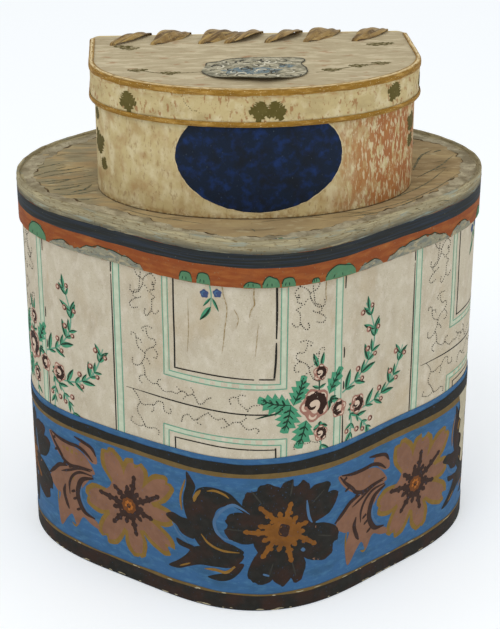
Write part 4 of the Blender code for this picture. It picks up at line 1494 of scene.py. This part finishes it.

        # Paper rubbed pale and grey all along the lip, ending in a ragged brown line of painted shade
        rubbed = finish("rubbed paper by the lip", "#a0957a", [
            ("#bfb596", 9, (0.46, 0.62), 0.8),
            ("#7d7257", 16, (0.48, 0.62), 0.8),
            ("#6a5534", 2.2, (0.6, 0.68), 0.8),
        ], creases=(4, 0.5), local=False)
        outline = large_outline()
        half = outline.length / 2
        us = np.linspace(-half, half, 520)
        inner = -14 - 2.4 * np.sin(us / 31) - 1.5 * np.sin(us / 5.3 + 2 * np.sin(us / 17))
        inner = inner - 0.8 * np.sin(us / 1.9)
        flat, sides = strip(us, inner, -1.6, 5)
        ring = np.stack([*outline.at(flat[:, 0], flat[:, 1]), 0 * flat[:, 0]], 1)
        line = np.stack(outline.at(us, inner), 1)
        # The broken brown strokes along the rubbed band's inner edge are painted shade inside the lip
        brown = finish("brown torn edge", "#4c3b22", [("#7c6a48", 3, (0.5, 0.6), 0.8)], local=False)
        starts = [k for k in range(0, 510, 9) if k % 27]
        torn = [stroke(line[k : k + 7], 1.2 + 0.9 * math.sin(k), (0.2, 0.2), 2) for k in starts]
        scraps = []
        for u in (-38, -33, -27, -21, 4, 9, 14):
            x, y = outline.at(u, -5.5 - 1.5 * math.sin(u))
            scraps.append(blob((float(x), float(y)), 2.6, 5, 0.3, u, 0.6, 15))
        green, deep, cream = (
            print_ink(name, code, "#a0957a", 0.6)
            for name, code in (("lip green", "#4f7f62"), ("lip blue", "#3c4d63"),
                ("lip cream", "#cdc5ac"))
        )
        layers = [
            (faded, 0.12, lines),
            (rubbed, 0.16, (ring, sides[:, ::-1])),
            (brown, 0.2, torn),
            (cream, 0.24, shifted(scraps, 1.8, 0.4)),
            (green, 0.28, scraps[::2]),
            (deep, 0.32, scraps[1::2]),
        ]
        prints = coats("large_top_print", layers, on_pleats, 4.0)
        attach(prints, "large_lid", "aged_top_paper")


# The small box


def ragged_sprig(centre, size, seed, turn):
    """A chunky toothed leaf spray, as stamped on the small box."""
    rng = random.Random(seed)
    shapes = []
    for angle, reach, width in ((90, 1.0, 0.55), (150, 0.8, 0.5), (25, 0.85, 0.5), (-90, 0.55, 0.6)):
        a = math.radians(angle) + turn + rng.uniform(-0.15, 0.15)
        shapes.append(leaf(centre, towards(centre, a, size * reach), size * width * 1.5, 4, 0, 0.3))
    shapes.append(blob(centre, size * 0.34, 7, 0.15, turn, 1, 21))
    return shapes


class HATBOX_OT_small_box(bpy.types.Operator):
    """Paper the small box: worn cream over rust, with a dark blue oval"""

    bl_idname = "hat_box.small_box"
    bl_label = "Small box"

    def execute(self, context):
        outline, tone = small_outline(), tones()
        # Cream distemper over a rust ground, flaked off in vertical specks, mostly to the right, with a
        # dark line of painted shadow along its foot
        paper = finish("flaked cream distemper", tone.cream, [
            ("#a58c5e", (26, 18), (0.45, 0.68), 0.7),
            ("#cfc29c", (10, 16), (0.45, 0.65), 0.7),
            ("#a07c50", (14, 20), (0.54, 0.68), 0.55),
            ("#8a6a44", (2.6, 7), (0.58, 0.66), 0.5),
            ("#96582c", (3.4, 10), (0.44, 0.51), 0.9, zone(0, 78, 205, 26)),
            ("#a06a38", (12, 20), (0.46, 0.62), 0.75, zone(0, 62, 210, 20)),
            ("#cdbf9a", (2.4, 8), (0.56, 0.6), 0.7, zone(0, 66, 205, 16)),
            ("#6f5632", (1.6, 2.2), (0.66, 0.7), 0.7),
            ("#8a6a3c", (4, 3), (0.42, 0.58), 0.8, zone(1, None, 355, 2.5)),
            # Painted shadow: a dark line along the foot, where the box stands on the large lid
            ("#241b12", 9, (0.3, 0.4), 0.9, zone(1, None, 352.3, 0.5)),
        ], 0.8, (0.9, 0.1), ((3.2, 9), 0.25))
        sheet = wrap("small_wall_paper", outline, SMALL_PAPER_OUT, SMALL_FOOT, SMALL_WALL_TOP, paper, 0.1,
            3.0, 24)
        attach(sheet, "small_box", "cream_paper", "small_wall_paper")
        navy = finish("navy distemper", tone.navy, [
            ("#0e2c5e", 9, (0.48, 0.68), 0.75),
            ("#080f16", (16, 20), (0.48, 0.66), 0.7),
            ("#5d7080", (0.9, 3.2), (0.68, 0.72), 0.6),
        ], 0.74, (1.1, 0.1))
        edge = finish("cream paper edge", "#c6b48a", [("#8f7a50", 4, (0.5, 0.62), 0.7)])
        middle = (-3.0, SMALL_FOOT + 53.0)
        wide = [blob(middle, 71.5, 0, 0, 0, 47.8 / 71.5, 96)]
        ragged = 0.25 * np.random.default_rng(sizes().seed).normal(size=(96, 2))
        oval = [blob(middle, 70.6, 0, 0, 0, 47.0 / 70.6, 96) + ragged]
        layers = [(edge, 0.2, wide), (navy, 0.27, oval)]
        place = round_wall(outline, SMALL_PAPER_OUT, 0.1)
        scrap = coats("small_front_scrap", layers, place, 5.0)
        attach(scrap, "small_box", "dark_blue_paper", "small_front_oval")
        olive = inked(("olive",), tone.cream)["olive"]
        shapes = []
        for x, v, size, seed, turn in (
            (-134.5, 435, 9, 1, 0.2), (-134, 422, 8, 5, 1.2), (-133, 396, 15, 2, 0.4),
            (-130, 380, 8, 6, -0.5),
            (133, 438, 8, 3, 0.0), (134, 412, 12, 4, 1.1), (132.5, 396, 9, 7, -0.6),
        ):
            shapes += ragged_sprig((outline.run_to(x), v), size, seed, turn)
        sprigs = coats("small_wall_print", [(olive, 0.14, shapes)], place, 5.0)
        attach(sprigs, "small_box", "cream_paper")
        return {"FINISHED"}


class HATBOX_OT_small_lid(bpy.types.Operator):
    """Paper the small lid: streaked top, cream rim, ochre bindings and the printed scrap"""

    bl_idname = "hat_box.small_lid"
    bl_label = "Small lid"

    def execute(self, context):
        outline, tone = small_outline(BACK_Y), tones()
        corner_start = outline.points[:, 1] >= BACK_Y - sizes().small_corner / MM - 0.01
        reach = float(outline.along[np.argmax(corner_start)])
        ends = (-reach, reach)
        # Grey-buff paper brushed lengthwise: fine streaks, rust stains, a rubbed pale back edge
        top = finish("streaked buff paper", tone.lid_grey, [
            ("#b09f7e", (24, 8), (0.46, 0.64), 0.65),
            ("#d6c8a6", (20, 6), (0.48, 0.64), 0.7),
            ("#8c7350", (34, 2.2), (0.6, 0.67), 0.5),
            ("#a0704a", (18, 8), (0.6, 0.68), 0.6),
            ("#6a5a40", (2.4, 1.2), (0.65, 0.7), 0.7),
            ("#e0c88e", (12, 4), (0.35, 0.5), 0.9, zone(1, BACK_Y - 2.5, None, 1.5)),
        ], creases=((40, 4), 0.35), local=False)
        level_top = on_top(SMALL_TOP - 0.1, 0.15)
        paper = lid_sheet("small_lid_top_paper", outline, 2.3, 320, 6.0, level_top, top)
        attach(paper, "small_lid", "streaked_lid_paper", "small_lid_paper")
        # The rim's paper: cream, less flaked than the wall, stained brown near its edges
        rim_paper = finish("cream rim paper", tone.cream, [
            ("#a28f64", (24, 12), (0.45, 0.66), 0.7),
            ("#cdc09b", (8, 12), (0.48, 0.66), 0.7),
            ("#93683f", (3, 7), (0.57, 0.64), 0.8),
            ("#9a7040", (9, 3), (0.46, 0.62), 0.8, zone(1, 456, None, 3)),
            ("#86683c", (2.2, 2.6), (0.63, 0.69), 0.7),
        ], 0.82, creases=((3.5, 9), 0.25))
        rim = wrap("small_rim_paper", outline, SMALL_RIM_OUT, SMALL_RIM_FOOT, 462.6, rim_paper, 0.1, 3.0,
                   10, ends=ends)
        attach(rim, "small_lid", "cream_paper", "small_lid_rim_paper")
        # Ochre distempered strip folded over the edge: rubbed through to cream along its crest
        binding = finish("ochre binding paper", tone.binding, [
            ("#b68f48", (11, 3), (0.5, 0.66), 0.7),
            ("#6f4d14", (16, 2), (0.5, 0.64), 0.7),
            ("#e8d2a0", (6, 0.9), (0.36, 0.5), 0.95, zone(1, 6.2, 8.4, 0.8)),
            ("#e8d2a0", (1.6, 0.8), (0.64, 0.68), 0.9),
        ], 0.7, (1.0, 0.1))
        profile = [(4.3, 458.4), (4.45, 460.5), (4.3, 462.9), (3.5, 464.0), (2.1, 464.4), (-0.2, 464.3)]

        def wander(u):
            return 0.5 + 0.4 * np.sin(u / 9.0) * np.sin(u / 4.1)

        upper = hooped("small_top_binding", outline, profile, binding, 12, 2.0, 0.45, 0.12, ends, wander)
        attach(upper, "small_lid", "ochre_binding", "small_lid_top_binding")
        profile = [(4.0, SMALL_RIM_FOOT), (4.8, 433.4), (4.9, 435.2), (4.3, 437.0)]
        lower = hooped("small_low_binding", outline, profile, binding, 6, 2.0, 0.45, 0.06, ends)
        attach(lower, "small_lid", "ochre_binding", "small_lid_low_binding")
        self.print_sprigs(outline, tone)
        self.paste_scrap()
        return {"FINISHED"}

    def print_sprigs(self, outline, tone):
        """Olive sprigs on the rim, and thin ones on the top."""
        olive = inked(("olive",), tone.cream)["olive"]
        shapes = []
        for x, v, size, seed, turn in (
            (-106, 448, 12, 11, 3.3), (-1, 448, 11.5, 12, 3.0), (11, 448, 11.5, 15, 3.5),
            (112, 451, 11, 13, 2.7), (138, 448, 9, 14, 3.1),
        ):
            shapes += ragged_sprig((outline.run_to(x), v), size, seed, turn)
        place = round_wall(outline, SMALL_RIM_OUT, 0.1)
        dots = [[(-66, 456), (-62, 450), (-58, 446), (-52, 444)]]
        speckle = dots_along(dots, olive, 1.9, 0.9, smallest=0.6, scatter=0.5, seed=9)
        rim = coats("small_rim_print", [(olive, 0.14, shapes), (olive, 0.18, speckle)], place, 5.0)
        attach(rim, "small_lid", "cream_paper")
        thin = finish("faded olive print", tone.olive, [("#a39470", 3, (0.45, 0.6), 0.8)], local=False)
        lines = []
        for stem, leaves in (
            ([(-108, -68), (-92, -76), (-76, -83), (-60, -82), (-44, -80)], ((-100, -73), (-73, -83))),
            ([(49, -88), (66, -80), (82, -73), (98, -68), (112, -64)],
             ((62, -82), (86, -71), (106, -65))),
            ([(-118, 9), (-110, 2), (-102, -6)], ((-112, 3), (-106, -3))),
            ([(104, -5), (114, -3), (124, 0)], ((110, -4), (118, -2))),
        ):
            lines.append(stroke(stem, 1.5))
            for spot in leaves:
                for angle, size in ((0.3, 10), (2.8, 8), (1.7, 6), (-1.3, 5)):
                    lines.append(leaf(spot, towards(spot, angle, size), 6.5, 3, 0, 0.25))
        prints = coats("small_top_print", [(thin, 0.12, lines)], on_top(SMALL_TOP - 0.1, 0.15), 5.0)
        attach(prints, "small_lid", "streaked_lid_paper")

    def paste_scrap(self):
        """A printed scrap with scrolled ornament, its front edge curling up."""
        ground = "#aba388"
        paper = finish("printed scrap paper", ground, [("#cac2a8", (6, 4), (0.44, 0.58), 0.85),
                       ("#6c6a58", (9, 5), (0.46, 0.6), 0.8), ("#5d4c30", (3, 2), (0.58, 0.64), 0.7)])
        dark = print_ink("scrap dark print", "#3d3b30", ground, 0.56)
        pale = print_ink("scrap white print", "#d4cdb6", ground, 0.6)
        blue = print_ink("scrap grey blue print", "#66777c", ground, 0.54)
        edge = smooth([(-42, -66), (-40, -56), (-30, -52), (-20, -45), (2, -41), (22, -44), (39, -45),
                       (43, -53), (39, -63), (42, -78), (40, -94), (30, -105), (10, -117), (-12, -113),
                       (-30, -106), (-40, -95), (-46, -81)], steps=4)

        def lifted(flat):
            x, y, w = flat.T
            front = np.clip((-94 - y - 0.1 * x) / 20, 0, 1)
            z = SMALL_TOP + 0.35 + w + SCRAP_CURL * front**2 + uneven(x * 2, y * 2, 0.4)
            return np.stack([x, y + 1.5 * front**2, z], 1)

        solid, skin = thicken(*cut_up([edge], 4.0), 0.3, 0.35)
        scrap = body("small_lid_scrap", lifted(solid), skin, [paper], solid)
        darks, pales, blues = [], [], []
        rng = random.Random(sizes().seed)
        for _ in range(70):
            x, y = rng.uniform(-38, 36), rng.uniform(-104, -50)
            if (x / 40) ** 4 + ((y + 78) / 32) ** 4 > 0.8:
                continue
            size, start = rng.uniform(1.5, 5), rng.uniform(0, 360)
            ink = darks if rng.random() < 0.55 else pales
            ink.append(arc((x, y), size, start, start + rng.uniform(140, 300), size * 0.4))
        blues += [blob((-4, -82), 24, 7, 0.12, 0.2, 0.4, 36), blob((26, -70), 7, 5, 0.15, 0, 0.6)]
        darks += [stroke(edge[k : k + 9], 1.2, (0.5, 0.5), 2) for k in range(0, len(edge) - 9, 8)]
        layers = [(blue, 0.35, blues), (pale, 0.4, pales), (dark, 0.45, darks)]
        prints = coats("small_lid_scrap_print", layers, lifted, 4.0)
        attach(scrap, "small_lid", "printed_scrap", "small_lid_cartouche")
        attach(prints, "small_lid", "printed_scrap")


# The lacing

STITCHES = (-0.96, -0.68, -0.35, -0.17, 0.11, 0.38, 0.72)  # share of half the straight back
LEAN = 32.0  # how far a stitch runs sideways
SLIT_Y = BACK_Y - 34.0
SLIT_Z = SMALL_WALL_TOP - 13.0
SILK = 0.45  # thickness of the ribbon
ACROSS = 9  # points across one side of it
HINGE_DOWN = 2.85  # from the lid's top paper down to the line about which the lid turns
BEND = 0.003  # BEND = 0.003 # metres to either side of that line; the two points it gives are not used


def stitch(start, following, leaf_width, roll):
    """Stations of one turn: (place, width, roll, arch), over the lid, round the back and in."""
    end = start + LEAN
    above = SMALL_TOP + 1.2
    inside = BACK_Y - 4.7
    turn = [
        ((start, SLIT_Y, SMALL_LID_UNDER - 1.5), 5, 0, 0),
        ((start, SLIT_Y, SMALL_TOP + 0.2), 5, 0, 0.2),
        ((start + 2, SLIT_Y + 2, above + 1.2), 5.5, 0, 0.5),
        ((start + 0.3 * LEAN, SLIT_Y + 10, above + 2.6), leaf_width * 0.85, roll, 1),
        ((start + 0.55 * LEAN, SLIT_Y + 19, above + 3.0), leaf_width, roll, 1),
        ((start + 0.82 * LEAN, SLIT_Y + 28, above + 2.0), leaf_width * 0.75, roll * 0.5, 0.8),
        ((end - 1, BACK_Y + 0.2, above + 0.4), 7.5, 0, 0.2),
        ((end - 0.4, BACK_Y + 2, above - 2.4), 7, 0, 0.1),
        ((end, BACK_Y + 2, SMALL_WALL_TOP - 3), 6, 0, 0.1),
        ((end, BACK_Y + 1.9, SLIT_Z + 2.6), 5, 0, 0),
        ((end, BACK_Y + 0.6, SLIT_Z), 5, 0, 0),
        ((end, inside + 1, SLIT_Z), 5, 0, 0),
        ((end, inside - 1, SLIT_Z + 0.2), 5, 0, 0),
    ]
    if following is not None:
        half_way = ((end + following) / 2, (inside + SLIT_Y) / 2, (SLIT_Z + SMALL_WALL_TOP) / 2 - 2)
        turn.append((half_way, 6, 0, 0))
        turn.append(((following, SLIT_Y - 0.6, SMALL_WALL_TOP - 4), 5, 0, 0))
    return turn


class HATBOX_OT_ribbon(bpy.types.Operator):
    """Lace the silk ribbon through the small lid and the back wall"""

    bl_idname = "hat_box.ribbon"
    bl_label = "Ribbon"

    def execute(self, context):
        s = sizes()
        half = s.small_width / MM / 2 - s.small_corner / MM
        starts = [BACK_X + share * half for share in STITCHES]
        widths = (11, 17, 18, 20, 19, 17, 15)
        rolls = (0.15, 0.5, 0.45, -0.25, -0.3, 0.45, 0.3)
        stations = []
        for start, following, width, roll in zip(starts, starts[1:] + [None], widths, rolls):
            stations += stitch(start, following, width, roll)
        rows = [(*place, width, roll, arch) for place, width, roll, arch in stations]
        run = smooth(rows, False)
        verts, lay = self.skin(run)
        count, loop = len(run), 2 * ACROSS
        faces = []
        for k in range(count - 1):
            for j in range(loop):
                a, b = k * loop + j, k * loop + (j + 1) % loop
                faces.append((a, b, b + loop, a + loop))
        faces.append(tuple(range(loop))[::-1])
        faces.append(tuple(range((count - 1) * loop, count * loop)))
        faces = [face[::-1] for face in faces]
        # Thin silk ribbon, faded and creased along its length, with a woven rib across; its dark
        # lengthwise streaks are partly fading and partly painted shade of the creases
        silk = finish("faded silk ribbon", tones().ribbon, [
            # Dark streaks along the ribbon: partly fading, partly painted shade in its creases
            ("#553d1c", (3, 22), (0.46, 0.6), 0.85),
            ("#bd9f5e", (2.4, 26), (0.52, 0.64), 0.8),
            ("#5d4526", (14, 18), (0.52, 0.68), 0.6),
            ("#c2b086", (8, 1.0), (0.6, 0.66), 0.5),
        ], 0.62, (0.8, 0.12), ((1.6, 24), 0.5), 0.15)
        piece = body("hinge_ribbon_silk", verts, faces, [silk], lay, smooth_angle=50)
        mesh = bmesh.new()
        mesh.from_mesh(piece.data)
        bmesh.ops.recalc_face_normals(mesh, faces=mesh.faces[:])
        mesh.to_mesh(piece.data)
        mesh.free()
        hinge = np.array([BACK_X, BACK_Y, SMALL_TOP - HINGE_DOWN]) * MM
        start, end = tuple(hinge + (0, BEND, -BEND)), tuple(hinge + (0, -BEND, BEND))
        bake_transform(piece)
        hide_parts("hinge_ribbon")
        return {"FINISHED"}

    def skin(self, run):
        """The ribbon's two sides, arched and creased across its width."""
        places = run[:, :3]
        ahead = np.gradient(places, axis=0)
        ahead /= np.linalg.norm(ahead, axis=1)[:, None]
        up = np.cross((1.0, 0.0, 0.0), ahead)
        up /= np.maximum(np.linalg.norm(up, axis=1)[:, None], 1e-6)
        side = np.cross(ahead, up)
        roll = run[:, 4:5]
        up, side = up * np.cos(roll) + side * np.sin(roll), side * np.cos(roll) - up * np.sin(roll)
        along = distances(places)
        t = np.linspace(-1, 1, ACROSS)
        verts, lay = [], []
        for k in range(len(run)):
            width, arch = run[k, 3], run[k, 5]
            crinkle = 0.9 * np.sin(t * 5 + along[k] / 5) * np.cos(t * 1.5)
            rise = arch * (0.16 * width * (1 - t**2) + crinkle) - arch * 0.06 * width
            spots = places[k] + side[k] * (t * width / 2)[:, None] + up[k] * rise[:, None]
            under = spots - up[k] * SILK
            verts += [*spots, *under[::-1]]
            for side_of, depth in ((t, 0.0), (t[::-1], -SILK)):
                lay += [(n * width / 2, along[k], depth) for n in side_of]
        return np.array(verts), np.array(lay)


# The stage


class HATBOX_OT_stage(bpy.types.Operator):
    """Set a pale floor, soft daylight and the camera"""

    bl_idname = "hat_box.stage"
    bl_label = "Stage"

    def execute(self, context):
        scene = context.scene
        scene.view_settings.view_transform = "Standard"
        bpy.ops.mesh.primitive_plane_add(size=60, location=(0, 0, -0.0004))
        floor = context.object
        floor.name = "floor"
        white = bpy.data.materials.new("white sheet")
        white.use_nodes = True
        shader = white.node_tree.nodes["Principled BSDF"]
        shader.inputs["Base Color"].default_value = (0.9, 0.92, 0.935, 1)
        shader.inputs["Emission Color"].default_value = (0.95, 0.98, 1.0, 1)
        shader.inputs["Emission Strength"].default_value = 0.25
        shader.inputs["Roughness"].default_value = 0.95
        shader.inputs["Specular IOR Level"].default_value = 0.0
        floor.data.materials.append(white)
        world = scene.world or bpy.data.worlds.new("daylight")
        scene.world = world
        world.use_nodes = True
        sky = world.node_tree.nodes.get("Background") or add(world.node_tree, "ShaderNodeBackground")
        sky.inputs["Color"].default_value = (0.97, 0.985, 1.0, 1)
        sky.inputs["Strength"].default_value = 0.74
        for name, place, size, power in (
            ("key light", (-1.1, -1.5, 2.3), 1.6, 16.0),
            ("fill light", (1.7, -1.6, 1.3), 1.8, 8.0),
        ):
            light = bpy.data.lights.new(name, "AREA")
            light.size = size
            light.energy = power
            lamp = bpy.data.objects.new(name, light)
            lamp.location = place
            aim = Vector((0, 0, 0.2)) - Vector(place)
            lamp.rotation_euler = aim.to_track_quat("-Z", "Y").to_euler()
            scene.collection.objects.link(lamp)
        camera = bpy.data.cameras.new("camera")
        camera.lens = 96.15
        camera.sensor_width = 36.0
        seat = bpy.data.objects.new("camera", camera)
        seat.location = (-0.0999, -1.4392, 0.8508)
        aim = Vector((0.0632, 0.9105, -0.4087))
        seat.rotation_euler = aim.to_track_quat("-Z", "Y").to_euler()
        scene.collection.objects.link(seat)
        scene.camera = seat
        return {"FINISHED"}


# Registration


STEPS = (
    HATBOX_OT_stage,
    HATBOX_OT_boards,
    HATBOX_OT_wallpaper,
    HATBOX_OT_border,
    HATBOX_OT_large_lid,
    HATBOX_OT_small_box,
    HATBOX_OT_small_lid,
    HATBOX_OT_ribbon,
)


class HATBOX_PT_boxes(bpy.types.Panel):
    """Lists the steps that build the hat boxes, with their sizes and colours"""

    bl_label = "Hat Boxes"
    bl_idname = "HATBOX_PT_boxes"
    bl_space_type = "VIEW_3D"
    bl_region_type = "UI"
    bl_category = "Hat Boxes"

    def draw(self, context):
        for step in STEPS:
            self.layout.operator(step.bl_idname)
        for group in (context.scene.hat_box_sizes, context.scene.hat_box_colours):
            box = self.layout.box()
            for name in group.bl_rna.properties.keys():
                if name not in ("rna_type", "name"):
                    box.prop(group, name)


CLASSES = (HatBoxSizes, HatBoxColours, *STEPS, HATBOX_PT_boxes)


def register():
    for item in CLASSES:
        bpy.utils.register_class(item)
    bpy.types.Scene.hat_box_sizes = PointerProperty(type=HatBoxSizes)
    bpy.types.Scene.hat_box_colours = PointerProperty(type=HatBoxColours)


def unregister():
    del bpy.types.Scene.hat_box_colours
    del bpy.types.Scene.hat_box_sizes
    for item in reversed(CLASSES):
        bpy.utils.unregister_class(item)


def main():
    register()
    for step in STEPS:
        group, name = step.bl_idname.split(".")
        getattr(getattr(bpy.ops, group), name)()


if __name__ == "__main__":
    main()
